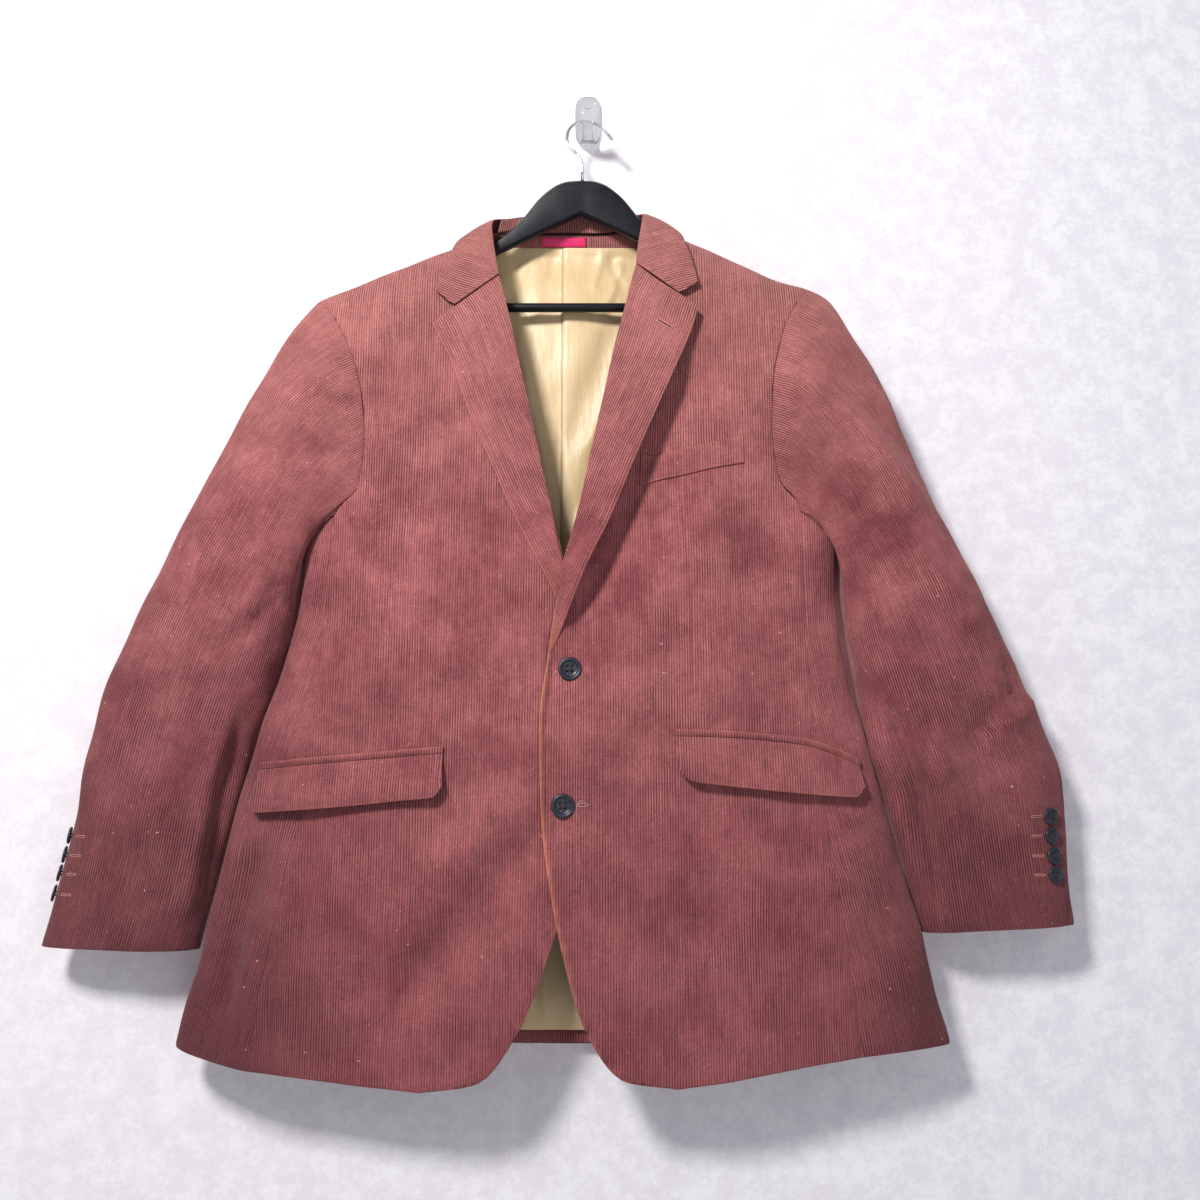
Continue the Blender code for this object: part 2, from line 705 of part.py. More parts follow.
FACING_FOOT = -139.5  # the neck facing's lower edge
LINING = table(  # the edges of the back lining, from the neck facing to the hem
    "height right left",
    (-139.9, -84, 46),
    (-160, -112, 80),
    (-182, -165, 130),
    (-205, -205, 165),
    (-235, -216, 173),
    (-300, -204, 167),
    (-345, -202, 165),
    (-385, -210, 174),
    (-412, -226, 192),
    (-520, -231, 197),
    (-620, -240, 206),
    (-740, -263, 226),
    (-865, -291, 254),
)
HEM_FACING = (-865.4, -876.5)
LABEL = {"right": -45.0, "left": -1.6, "top": -129.5, "foot": -138.7}


def back_inside(x, height):
    return placed(x, height, "back")


def facing_surface(u, v):
    x = -85 + (48 + 85) * u
    top = -neck_drop(x) - 1.0
    foot = cloth_height(x, FACING_FOOT, "back")
    return body_point(x, foot + (top - foot) * v, "back")


def lining_surface(u, row):
    at = read_row(LINING, row)
    return back_inside(at["right"] + (at["left"] - at["right"]) * u, at["height"] + 0 * u)


def hem_surface(u, v):
    height = HEM_FACING[0] + (HEM_FACING[1] - HEM_FACING[0]) * v
    return back_inside(-292 + (255 + 292) * u, height)


def label_surface(u, v):
    x = LABEL["right"] + (LABEL["left"] - LABEL["right"]) * u
    return back_inside(x, LABEL["foot"] + (LABEL["top"] - LABEL["foot"]) * v)


def make_inside():
    on_back = -CLOTH - LINING_GAP - THIN
    wall("neck_facing", facing_surface, steps(14), steps(2), on_back, THIN, -1)
    wall("back_lining", lining_surface, steps(12), steps(18, 12), on_back, THIN, 1, "lining_satin")
    wall("hem_facing", hem_surface, steps(12), steps(1), on_back, THIN, 1)
    wall("label", label_surface, steps(3), steps(1), on_back - 0.8 - 0.6, 0.6, -1, "label_cloth")


# --- Pockets ----------------------------------------------------------------------------------

FLAPS = {  # across each flap: its top edge and its lower edge
    "right": table(
        "top_x top_z foot_x foot_z",
        (-282, -638.5, -290, -667),
        (-273, -637.8, -281, -675),
        (-240, -634.5, -243, -672.5),
        (-200, -631, -200, -669),
        (-160, -627.6, -159, -664.8),
        (-131, -625.4, -129, -661.5),
        (-122, -624.6, -121, -652),
    ),
    "left": table(
        "top_x top_z foot_x foot_z",
        (76, -610, 79, -639),
        (85, -610.2, 89, -648),
        (115, -611, 118, -652),
        (150, -613.5, 150, -655.5),
        (190, -618, 192, -659.5),
        (226, -630.5, 230, -662),
        (235.5, -636, 239, -653),
    ),
}
JET_HEIGHT = 5.5
FLAP_LIFT = 2.0  # how far a flap's lower edge stands off
WELT = table(
    "top_x top_z foot_x foot_z",
    (49, -358.6, 47.6, -383.2),
    (95, -350, 94, -374.5),
    (140.4, -342, 140, -366),
)


def pocket_surface(rows, lift, shift=0.0, height=None):
    """surface(column, v) from a pocket piece's top edge to its foot, or this far below the top."""

    def surface(column, v):
        at = read_row(rows, column)
        foot_x, foot_z = (at["foot_x"], at["foot_z"]) if height is None else (at["top_x"], at["top_z"] - height)
        x = at["top_x"] + (foot_x - at["top_x"]) * v
        z = at["top_z"] + (foot_z - at["top_z"]) * v + shift
        return placed(x, z, lift=lift(x) + (FLAP_LIFT * ease(v) if height is None else 0.0))

    return surface


def make_pockets():
    flat = {"right": lambda x: 0.0 * x, "left": overlap_lift}
    for side in ("right", "left"):
        flap = pocket_surface(FLAPS[side], flat[side])
        jet = pocket_surface(FLAPS[side], flat[side], JET_HEIGHT + SEAM, JET_HEIGHT)
        wall(side + "_pocket_flap", flap, steps(9, 6), steps(2), POCKET_GAP, 2.2, -1)
        wall(side + "_pocket_jet", jet, steps(9, 6), steps(1), POCKET_GAP, 1.6, -1)
    wall("breast_welt", pocket_surface(WELT, overlap_lift, height=24.5), steps(5, 2), steps(1), LAID, 2.0, -1)


# --- Buttons ----------------------------------------------------------------------------------

BUTTON_PROFILE = (  # radius and height, as shares of the radius, from the dished top to the back
    (0, 0.12),
    (0.56, 0.12),
    (0.74, 0.27),
    (0.9, 0.3),
    (1.0, 0.22),
    (1.0, 0.08),
    (0.9, 0),
    (0, 0),
)
FRONT_BUTTONS = {"upper": (-13.8, -552.2), "lower": (-19.3, -668.9)}
CUFF_BUTTONS = {  # turn in degrees round the sleeve, and section of the sleeve
    "right": {"turn": (-6, -6, -6, -6), "along": (8.95, 9.15, 9.33, 9.52)},
    "left": {"turn": (32, 32, 32, 32), "along": (8.36, 8.64, 8.93, 9.21)},
}


def make_button(name, diameter, sides, place, normal):
    """A turned button whose back lies just over place."""
    mesh = bpy.data.meshes.new(name)
    radius = diameter / 2 * MM
    points = [(r * radius, 0, h * radius) for r, h in BUTTON_PROFILE]
    mesh.from_pydata(points, [(i, i + 1) for i in range(len(points) - 1)], [])
    obj = add_object(name, mesh, "button_dark")
    turned = obj.modifiers.new("turned", "SCREW")
    turned.steps = turned.render_steps = sides
    turned.use_merge_vertices = True
    turned.merge_threshold = 1e-6
    normal = Vector(normal)
    obj.rotation_euler = normal.to_track_quat("Z", "Y").to_euler()
    obj.location = Vector(place) * MM + normal * BUTTON_SHANK * MM
    return obj


def make_buttons():
    front = front_surface("left")
    for name, (x, height) in FRONT_BUTTONS.items():
        near = 1.0
        place = placed(np.array(x), np.array(height), lift=overlap_lift(x))
        across = placed(np.array(x + near), np.array(height), lift=overlap_lift(x + near)) - place
        up = placed(np.array(x), np.array(height + near), lift=overlap_lift(x)) - place
        make_button(name + "_front_button", FRONT_BUTTON, 20, place, unit(np.cross(across, up)))
    for side, where in CUFF_BUTTONS.items():
        for number, (turn, along) in enumerate(zip(where["turn"], where["along"]), 1):
            turn, along = np.array(math.radians(turn)), np.array(along)
            place = sleeve_section(side, turn, along)
            across = sleeve_section(side, turn + 0.02, along) - place
            down = sleeve_section(side, turn, along + 0.02) - place
            out = unit(np.cross(across, down)) * (-1 if side == "right" else 1)
            make_button(f"{side}_cuff_button_{number}", SLEEVE_BUTTON, 14, place, out)


# --- Hanger and wall hook ---------------------------------------------------------------------

HANGER = table(  # from the middle out: its top edge and its lower edge
    "out top foot",
    (0, -82.5, -116.5),
    (12, -83.3, -122.3),
    (22, -86.5, -127.2),
    (32, -93.5, -132.1),
    (40, -101, -136),
    (47, -110, -139.6),
    (53, -118, -142.6),
    (58, -124, -145.2),
    (64, -130, -148.5),
    (72, -137, -152.5),
    (84, -145.5, -158.5),
    (98, -150.5, -166),
    (129, -161, -180),
    (150, -170, -190),
    (184, -185.5, -203.4),
    (184.1, -185.5, -216),
    (200, -193, -217),
)
HANGER_WIRE = table(  # the hook's line, from the wood over the wall hook to its tip
    "x height",
    (-5, -82.2),
    (-5, -68),
    (-8.5, -57),
    (-16, -49),
    (-20, -41),
    (-19, -32),
    (-13, -24.5),
    (-4, -21),
    (5, -22.5),
    (14, -29),
    (24, -40),
)
WALL_HOOK = table(  # the middle line of the clear hook's strip, from the plate's top to the lip
    "depth height half",
    (1.5, 25, 4.5),
    (1.5, 23.5, 8),
    (1.5, 20.5, 10.8),
    (1.5, 16, 12.3),
    (1.5, 12, 12.5),
    (1.5, -14, 12.5),
    (1.5, -19, 11.5),
    (3.4, -23.8, 9.5),
    (8.5, -26.6, 7),
    (16, -27.4, 6),
    (28, -27.5, 5.2),
    (37, -27.1, 5),
    (42, -25.8, 5.2),
    (45.3, -22.3, 5.5),
    (46.5, -17, 5.5),
    (46.6, -13, 3.5),
)


def hanger_ring(x, top, foot):
    """A rounded section of the hanger's wood."""
    half, soft = HANGER_THICKNESS / 2, 2.5
    corners = ((-half, soft), (-half + soft, 0), (half - soft, 0), (half, soft))
    upper = [(x, -HANGER_DEPTH + y, top - z) for y, z in corners]
    lower = [(x, -HANGER_DEPTH - y, foot + z) for y, z in corners]
    return upper + lower


def make_hanger():
    out = np.concatenate([np.arange(0, NECK_OF_HANGER, 4.0), HANGER["out"][HANGER["out"] > NECK_OF_HANGER]])
    every = np.concatenate([-out[:0:-1], out])
    rings = [
        hanger_ring(HANGER_CENTRE + x, *(read(HANGER, edge, "out", abs(x)) for edge in ("top", "foot")))
        for x in every
    ]
    loft("hanger_wood", rings, "hanger_black")
    bpy.ops.mesh.primitive_cylinder_add(
        vertices=16,
        radius=BAR_DIAMETER / 2 * MM,
        depth=2 * BAR_HALF * MM,
        location=(HANGER_CENTRE * MM, -HANGER_DEPTH * MM, BAR_HEIGHT * MM),
        rotation=(0, math.pi / 2, 0),
    )
    bar = bpy.context.active_object
    bar.name = "trouser_bar"
    bar.data.materials.append(bpy.data.materials["hanger_black"])
    for collection in list(bar.users_collection):
        collection.objects.unlink(bar)
    bpy.data.collections["corduroy_jacket"].objects.link(bar)


def make_wire():
    """The hanger's hook, a bent wire that stands in the wood."""
    line = bpy.data.curves.new("hanger_hook", "CURVE")
    line.dimensions = "3D"
    spline = line.splines.new("POLY")
    spline.points.add(WIRE_STEPS)
    for point, row in zip(spline.points, steps(WIRE_STEPS, len(HANGER_WIRE["x"]) - 1)):
        at = read_row(HANGER_WIRE, row)
        point.co = (at["x"] * MM, -HANGER_DEPTH * MM, at["height"] * MM, 1)
    line.bevel_depth = WIRE_DIAMETER / 2 * MM
    line.bevel_resolution = 2
    line.use_fill_caps = True
    return add_object("hanger_hook", line, "chrome")


def make_wall_hook():
    """The clear hook: a flat strip that turns out from the wall under the wire."""
    line = np.stack([-WALL_HOOK["depth"], WALL_HOOK["height"]], -1)
    along = unit(np.gradient(line, axis=0))
    along[: PLATE_ROWS] = (0.0, -1.0)
    rings = []
    for (y, z), (run_y, run_z), half in zip(line, along, WALL_HOOK["half"]):
        off_y, off_z = run_z * HOOK_THICKNESS / 2, -run_y * HOOK_THICKNESS / 2
        near, far = (y + off_y, z + off_z), (y - off_y, z - off_z)
        rings.append([(-half, *near), (half, *near), (half, *far), (-half, *far)])
    return loft("wall_hook", rings, "clear_plastic")


def make_materials():
    for name, (colour, roughness, metallic, transmission) in COLOURS.items():
        material = bpy.data.materials.new(name)
        material.use_nodes = True
        shader = material.node_tree.nodes["Principled BSDF"]
        shader.inputs["Base Color"].default_value = (*colour, 1)
        shader.inputs["Roughness"].default_value = roughness
        shader.inputs["Metallic"].default_value = metallic
        shader.inputs["Transmission Weight"].default_value = transmission


def main():
    for obj in list(bpy.data.objects):
        bpy.data.objects.remove(obj, do_unlink=True)
    bpy.context.scene.collection.children.link(bpy.data.collections.new("corduroy_jacket"))
    make_materials()
    make_body()
    make_sleeves()
    make_collar()
    make_inside()
    make_pockets()
    make_buttons()
    make_hanger()
    make_wire()
    make_wall_hook()


main()
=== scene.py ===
"""The looks of a corduroy jacket, its hanger and its wall hook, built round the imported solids.

The tables and surfaces down to "Folds" are those of the solids. Each piece of cloth is then a thin
closed shell on its own surface, with the ribs of the corduroy and the folds of the cloth in its mesh.
Lengths are millimetres until a mesh is made. +X is the viewer's right, +Z is up, the wall is Y = 0,
and the jacket hangs in front of it at negative Y. Left and right in names are the wearer's.
"""

import json
import math
from types import SimpleNamespace

import bmesh
import bpy
import numpy as np
from mathutils import Matrix, Vector

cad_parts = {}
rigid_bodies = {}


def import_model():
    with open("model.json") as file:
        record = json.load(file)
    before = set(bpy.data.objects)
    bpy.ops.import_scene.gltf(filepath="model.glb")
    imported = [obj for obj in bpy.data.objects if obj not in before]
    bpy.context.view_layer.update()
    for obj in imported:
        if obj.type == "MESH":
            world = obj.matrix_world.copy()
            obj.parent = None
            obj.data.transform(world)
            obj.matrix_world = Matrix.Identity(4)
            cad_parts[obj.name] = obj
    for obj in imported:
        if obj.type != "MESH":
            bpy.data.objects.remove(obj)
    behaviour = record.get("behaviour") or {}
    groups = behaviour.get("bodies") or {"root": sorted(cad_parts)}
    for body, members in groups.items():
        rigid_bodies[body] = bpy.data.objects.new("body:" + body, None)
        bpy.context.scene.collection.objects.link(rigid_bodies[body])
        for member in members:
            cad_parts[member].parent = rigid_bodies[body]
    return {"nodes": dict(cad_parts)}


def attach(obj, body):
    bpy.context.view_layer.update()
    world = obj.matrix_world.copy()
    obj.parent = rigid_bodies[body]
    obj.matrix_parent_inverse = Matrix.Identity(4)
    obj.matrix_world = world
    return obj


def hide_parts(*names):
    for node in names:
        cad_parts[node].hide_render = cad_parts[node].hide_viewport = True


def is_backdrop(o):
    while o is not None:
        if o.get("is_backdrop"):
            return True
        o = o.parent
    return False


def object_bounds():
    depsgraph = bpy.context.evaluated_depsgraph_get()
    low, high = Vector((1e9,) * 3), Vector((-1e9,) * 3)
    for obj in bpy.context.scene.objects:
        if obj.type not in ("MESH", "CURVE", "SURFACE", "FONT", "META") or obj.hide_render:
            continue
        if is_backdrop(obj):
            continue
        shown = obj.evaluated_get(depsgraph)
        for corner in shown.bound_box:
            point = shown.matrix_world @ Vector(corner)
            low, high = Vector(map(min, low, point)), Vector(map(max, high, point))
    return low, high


MM = 0.001

# The solids' sizes
CLOTH = 2.0  # a wall of corduroy
THIN = 1.2  # a wall of lining
SEAM = 0.3  # between pieces that are sewn together
LAID = 0.35  # between a piece and the panel it lies on
POCKET_GAP = 0.9  # under pocket pieces
LINING_GAP = 1.3  # between the back and what hangs inside it
SQUARENESS = 2.6  # exponent of the body's ring: 2 is an ellipse
SIDE_DEPTH = 42.0  # where the ring turns from front to back
RIDGE_DEPTH = 38.0  # the top line of the shoulders
ROLL = {"front": 50.0, "back": 40.0}  # height over which the cloth turns to the ridge
OVERLAP_LIFT = 5.2  # how far the left front lies over the right one
OVERLAP_EDGE = -40.0
OVERLAP_REACH = 120.0  # how far from its edge the left front sinks back to the body's ring
CENTRE_BACK = -19.0
NECK_CENTRE = -15.0
NECK_HALF_WIDTH = 79.0
NECK_DROP = 35.0  # of the back neck under the shoulder line, along the cloth
NECK_ROUNDNESS = 2.5
SLEEVE_SQUARENESS = 2.3
SECTIONS = 10  # of a sleeve, between the rows of its table
ARMHOLE_BLEND = 3.0  # sections over which a sleeve leaves the armhole's shape
UNDERARM = -402.0  # below this height a sleeve hangs outside the body
UNDERARM_BLEND = 12.0
SLEEVE_ROOM = 2.0  # between a hanging sleeve and the body
ROOM_SLOPE = 1.8  # of a section's number, until the room is whole
UNDERARM_STEP = 0.6  # from the side panel's face out to the sleeve's edge under the arm
FRONT_BUTTON = 20.5  # 32 ligne
SLEEVE_BUTTON = 15.0  # 24 ligne
BUTTON_SHANK = 0.5  # of thread between a button and the cloth
JET_HEIGHT = 5.5
WELT_HEIGHT = 24.5
POCKET_CLOTH = 2.2  # a flap's thickness
JET_CLOTH = 3.0
JET_RISE = 3.2  # of a jet's face over the pocket gap
COLLAR_CLOTH = 1.8

# The cloth that is seen. Four numbers in brackets are for a piece's edges: at u = 0, at u = 1, at its
# first row and at its last row.
RIB = 2.3  # from one rib of the corduroy to the next
RIB_SHAPE = (-1.0, -0.2, 0.0, -0.2)  # height across one rib, as a share of its depth
RIB_DEPTH = 0.42
SHELL = 1.4  # thickness of a shell
EDGE_DIP = 0.55  # how far a shell's face sinks towards its edges
EDGE_REACH = 1.7
WEAR_AND_HIGHLIGHT_REACH = 2.0  # how far the rubbed colour of an edge reaches in; it is partly a painted highlight
FRONT_WEAR_AND_HIGHLIGHT = {"right": 0.3, "left": 1.0}  # how rubbed the edges are, from 0 to 1, partly a painted highlight where they catch the light
HEM_WEAR_AND_HIGHLIGHT = 0.3
FRONT_REACH = (2.0, 3.2, 2.0, 2.0)
LAPEL_WEAR_AND_HIGHLIGHT = (0.38, 0.0, 0.95, 0.2)
LAPEL_REACH = (2.0, 2.0, 20.0, 2.0)
COLLAR_WEAR_AND_HIGHLIGHT = (0.25, 0.25, 0.0, 0.3)
FLAP_WEAR_AND_HIGHLIGHT = (0.3, 0.3, 0.3, 0.36)
JET_WEAR_AND_HIGHLIGHT = (0.15, 0.15, 0.34, 0.25)
FLAP_LIFT = 7.5  # how far a flap's lower edge stands off
FOLD_DEPTH = 2.3  # times the heights in the tables of folds
BACK_FOLDS = 0.58  # of that on the back, which lies close to the wall
INSIDE_LINES = 8  # lines of the outer face for each line of the inner one
SATIN_LINES = 2.5  # between the lines of the lining, which has no ribs
LABEL_LINES = 0.8
LABEL_RISE = 1.4  # of the label's face over the neck facing's
LABEL_CLOTH = 0.6


# --- Tables of the solids ---------------------------------------------------------------------


def table(columns, *rows):
    """A short table with named columns."""
    return {name: np.array([row[i] for row in rows], float) for i, name in enumerate(columns.split())}


def read(rows, name, key, at):
    """The column name where the column key is at, on a smooth curve that never overshoots."""
    x, y = rows[key], rows[name]
    step = np.diff(x)
    slope = np.diff(y) / step
    turning = slope[1:] * slope[:-1] <= 0
    mean = 2 * slope[1:] * slope[:-1] / np.where(turning, 1, slope[1:] + slope[:-1])
    tangent = np.concatenate([slope[:1], np.where(turning, 0, mean), slope[-1:]])
    at = np.clip(at, x[0], x[-1])
    i = np.clip(np.searchsorted(x, at) - 1, 0, len(x) - 2)
    t = (at - x[i]) / step[i]
    ends = (1 + 2 * t) * (1 - t) ** 2 * y[i] + t * t * (3 - 2 * t) * y[i + 1]
    return ends + step[i] * t * (1 - t) * ((1 - t) * tangent[i] - t * tangent[i + 1])


def last_row(rows):
    return len(next(iter(rows.values()))) - 1


def read_row(rows, at):
    """Every column of a table at a row number, which may lie between two rows."""
    numbered = dict(rows, row=np.arange(last_row(rows) + 1.0))
    return {name: read(numbered, name, "row", at) for name in rows}


def ease(t):
    t = np.clip(t, 0, 1)
    return t * t * (3 - 2 * t)


def unit(vectors):
    return vectors / np.maximum(np.linalg.norm(vectors, axis=-1, keepdims=True), 1e-9)


def walk(points):
    """The distance along a line of points to each of them."""
    return np.concatenate([[0], np.linalg.norm(np.diff(points, axis=0), axis=1).cumsum()])


BODY = table(
    "height right left front back",
    (-910, -361, 320, 83, 11),
    (-868, -353, 311, 84, 11),
    (-780, -331, 290, 86, 10),
    (-700, -313, 269, 87, 10),
    (-620, -294, 249, 86, 9),
    (-560, -275, 235, 84, 9),
    (-500, -259, 226, 81, 9),
    (-400, -254, 225, 76, 10),
    (-300, -266, 240, 71, 11),
    (-200, -284, 252, 66, 12),
    (-100, -286, 254, 62, 13),
)

RIDGE = table(
    "x height",
    (-262, -206),
    (-251, -202),
    (-194, -179.6),
    (-152, -161.8),
    (-120, -148.5),
    (-93, -135),
    (-60, -119),
    (-19, -113),
    (22, -117),
    (40, -119),
    (60, -124),
    (76, -134.5),
    (92, -144.5),
    (123, -158),
    (184, -183.5),
    (207, -191),
    (222, -196),
)

EDGES = "outer_x outer_z inner_x inner_z"
ARM_ROW = 7  # of a front or back table: the underarm, where the armhole begins
TOP_ROW = 14
STRAIGHT_ROW = 9  # up to here a row runs straight as it is seen, and the last rows along the cloth

FRONTS = {  # rows from hem to shoulder; the outer edge is the side seam and then the armhole
    "right": table(
        EDGES,
        (-284, -887, -138, -903),
        (-273, -825, -92, -896.5),
        (-260, -755, -55, -853),
        (-245, -670, -9, -712),
        (-236, -590, 3, -630),
        (-233, -520, 4, -555),
        (-230, -460, -12, -490),
        (-226, -412, -27, -425),
        (-206, -388, -38, -380),
        (-200.5, -345, -48, -333),
        (-205, -298, -58.5, -285),
        (-220, -250, -70, -232),
        (-242, -214, -81, -188),
        (-249, -204.5, -87, -160),
        (-251, -202, -93, -135),
    ),
    "left": table(
        EDGES,
        (232, -876, 76, -900.2),
        (226, -820, 34, -893.8),
        (217, -755, 0, -853),
        (207, -690, -29, -745),
        (199, -610, -38, -675),
        (194.5, -540, -40, -600),
        (193, -480, -33, -540),
        (192, -410, -21, -463),
        (173, -380, -9, -419),
        (166.5, -335, 4, -355),
        (169, -288, 18, -292),
        (180, -240, 31, -235),
        (199, -203, 44, -181),
        (205, -194, 53, -155),
        (207, -191, 64, -126.5),
    ),
}

CENTRE_HEIGHTS = (-878, -820, -752, -670, -590, -520, -455, -405, -363, -311, -256, -204, -157, -123.6, -113)


def back_table(*rows):
    """A back's table: every row runs from its outer edge to the centre back."""
    return table(EDGES, *[(x, z, CENTRE_BACK, height) for (x, z), height in zip(rows, CENTRE_HEIGHTS)])


BACKS = {
    "right": back_table(
        (-300, -876),
        (-287, -815),
        (-272, -750),
        (-254, -670),
        (-243, -590),
        (-238, -520),
        (-236, -460),
        (-234, -412),
        (-217, -388),
        (-209, -345),
        (-211, -298),
        (-223, -250),
        (-241, -213),
        (-249, -203.5),
        (-251, -202),
    ),
    "left": back_table(
        (262, -876),
        (249, -815),
        (234, -750),
        (221, -670),
        (210, -590),
        (204, -520),
        (202, -460),
        (200, -412),
        (182, -380),
        (173, -335),
        (175, -288),
        (185, -240),
        (200, -202),
        (205, -193.5),
        (207, -191),
    ),
}

SIDE_RISE = {  # how far the middle of a side panel lies over a straight line, at each row
    "right": (10, 4, 0, 0, 0, 0, -3, -12),
    "left": (6, 3, 0, 0, 0, 0, -3, -12),
}

SLEEVE_FORM = table(  # bow bends a section round the body's side
    "depth half bow twist",
    (40, 26, 50, 0),
    (41, 31, 44, 0),
    (42, 34, 36, 0),
    (42, 36, 27, 1),
    (41, 37, 17, 3),
    (40, 37, 9, 6),
    (39, 36, 3, 9),
    (38, 34, 0, 11),
    (37, 31, 0, 13),
    (36, 28, 0, 14),
    (36, 25, 0, 15),
)
SLEEVES = {  # from the armhole to the cuff
    "right": table(
        EDGES,
        (-251, -202, -255, -424),
        (-266, -220, -256.5, -436),
        (-286, -252, -257.5, -450),
        (-313, -301, -258.5, -470),
        (-344, -370, -263, -498),
        (-374, -433, -271.5, -537),
        (-405, -502, -284, -578),
        (-429, -566, -297, -620),
        (-444, -625, -309, -672),
        (-455, -700, -323, -727),
        (-475, -790, -337, -794),
    ),
    "left": table(
        EDGES,
        (207, -191, 226.5, -424),
        (226, -203, 227.5, -436),
        (247, -236, 228.5, -450),
        (275, -292, 229, -470),
        (302, -357, 230.5, -498),
        (335, -436, 235, -535),
        (372, -515, 243, -576),
        (402, -592, 253, -622),
        (423, -655, 266, -672),
        (422.5, -715, 280, -724),
        (427, -772, 292, -778.5),
    ),
}

LAPELS = {  # from the break to the gorge: the lapel's outer edge and the roll line
    "right": table(
        EDGES,
        (-24, -495, -13, -486),
        (-37, -469, -21.5, -456),
        (-65.5, -413, -31.5, -408),
        (-86, -366, -41, -365),
        (-106, -320, -51, -318),
        (-124, -270, -61.5, -272),
        (-134.5, -249, -70, -232),
        (-141.3, -236, -81, -188.3),
    ),
    "left": table(
        EDGES,
        (-28, -536, -32, -538),
        (-1, -466, -22, -466),
        (21, -420, -9.5, -420),
        (43, -366, 3, -364),
        (66, -312, 14, -310),
        (89, -259, 25, -258),
        (97, -238, 34, -222),
        (101.4, -223.5, 45, -177.9),
    ),
}
LAPEL_LIFT = {"right": 3.0, "left": 9.0}  # at their outer edges; the left one rolls over a hollow
LAPEL_FOOT_DIP = 2.8  # so that the roll runs into the front's edge
LAPEL_FOOT = 1.6  # rows over which the roll grows
LAPEL_FOOT_SHARE = 0.1  # of that growth, at the foot

COLLAR = table(  # round the neck from the right gorge to the left one
    "fold_x fold_depth fold_z edge_x edge_depth edge_z bend",
    (-81, 69.5, -187.6, -138.6, 71, -203, -19.7),
    (-84, 67, -171, -133, 68.5, -181, -7),
    (-87, 61.5, -153, -126.5, 63.5, -164, 0),
    (-90, 48, -128.5, -121.5, 50.5, -146, 0),
    (-88, 35, -118.5, -110, 36, -137.5, 0),
    (-76, 24, -113, -94, 16.5, -144, 0),
    (-52, 16, -107, -62, 9.5, -153, 0),
    (-18, 13.5, -104.5, -18, 9, -156, 0),
    (16, 15.5, -104.8, 26, 9.5, -152, 0),
    (41, 23.5, -109.2, 58, 14, -141, 0),
    (53.5, 35, -113.6, 80, 34, -132, 0),
    (52.5, 47, -121, 88, 50, -141.5, 0),
    (50, 61, -139, 91, 63.5, -155, 0),
    (47, 67.5, -159, 96.5, 69.5, -175, -5),
    (45, 69.8, -177.2, 101.4, 73, -197.3, -16.8),
)
NOTCH = 0.69  # of the way along the collar's end, where the bend is deepest
COLLAR_CROWN = 2.0  # how far the middle of the collar stands over a straight line
NECK_HEIGHT = -170.0  # of the point inside the neck that the crown faces away from

STAND = table(  # the part of the collar stand that shows, from the back neck's edge to its top
    "low_x top_x top_depth top_z",
    (-86, -82, 36, -120.8),
    (-80, -75, 30.5, -117),
    (-68, -66, 24.5, -114.3),
    (-50, -50, 20.5, -110.2),
    (-18, -18, 18.2, -107.8),
    (14, 14, 20.5, -108),
    (30, 30, 24.5, -111),
    (42, 39, 29, -113.2),
    (53, 48.5, 34, -117.5),
)
STAND_RISE = 2.0  # of the stand's foot over the back neck's inner edge

FACING = {"right": -85.0, "left": 48.0, "foot": -139.5, "below_edge": 1.0}
LINING = table(  # the edges of the back lining, from the neck facing to the hem
    "height right left",
    (-139.9, -84, 46),
    (-160, -112, 80),
    (-182, -165, 130),
    (-205, -205, 165),
    (-235, -216, 173),
    (-300, -204, 167),
    (-345, -202, 165),
    (-385, -210, 174),
    (-412, -226, 192),
    (-520, -231, 197),
    (-620, -240, 206),
    (-740, -263, 226),
    (-865, -291, 254),
)
HEM_FACING = {"right": -292.0, "left": 255.0, "top": -865.4, "foot": -876.5}
LABEL = {"right": -45.0, "left": -1.6, "top": -129.5, "foot": -138.7}

FLAPS = {  # across each flap: its top edge and its lower edge
    "right": table(
        "top_x top_z foot_x foot_z",
        (-282, -638.5, -290, -667),
        (-273, -637.8, -281, -675),
        (-240, -634.5, -243, -672.5),
        (-200, -631, -200, -669),
        (-160, -627.6, -159, -664.8),
        (-131, -625.4, -129, -661.5),
        (-122, -624.6, -121, -652),
    ),
    "left": table(
        "top_x top_z foot_x foot_z",
        (76, -610, 79, -639),
        (85, -610.2, 89, -648),
        (115, -611, 118, -652),
        (150, -613.5, 150, -655.5),
        (190, -618, 192, -659.5),
        (226, -630.5, 230, -662),
        (235.5, -636, 239, -653),
    ),
}
WELT = table(
    "top_x top_z foot_x foot_z",
    (49, -358.6, 47.6, -383.2),
    (95, -350, 94, -374.5),
    (140.4, -342, 140, -366),
)

FRONT_BUTTONS = {"upper": (-13.8, -552.2), "lower": (-19.3, -668.9)}
CUFF_BUTTONS = {  # turn in degrees round the sleeve, and section of the sleeve
    "right": {"turn": -6, "along": (8.95, 9.15, 9.33, 9.52)},
    "left": {"turn": 32, "along": (8.36, 8.64, 8.93, 9.21)},
}


# --- Surfaces of the solids -------------------------------------------------------------------


def body_at(height):
    """The body's right side, left side, front and back at this height."""
    return (read(BODY, size, "height", height) for size in ("right", "left", "front", "back"))


def face_depth(x, height, face):
    """How far the body's ring stands off the wall, on its front or its back."""
    right, left, front, back = body_at(height)
    across = np.abs(x - (right + left) / 2) / ((left - right) / 2)
    share = (1 - np.clip(across, 0, 1) ** SQUARENESS) ** (1 / SQUARENESS)
    return SIDE_DEPTH + ((front if face == "front" else back) - SIDE_DEPTH) * share


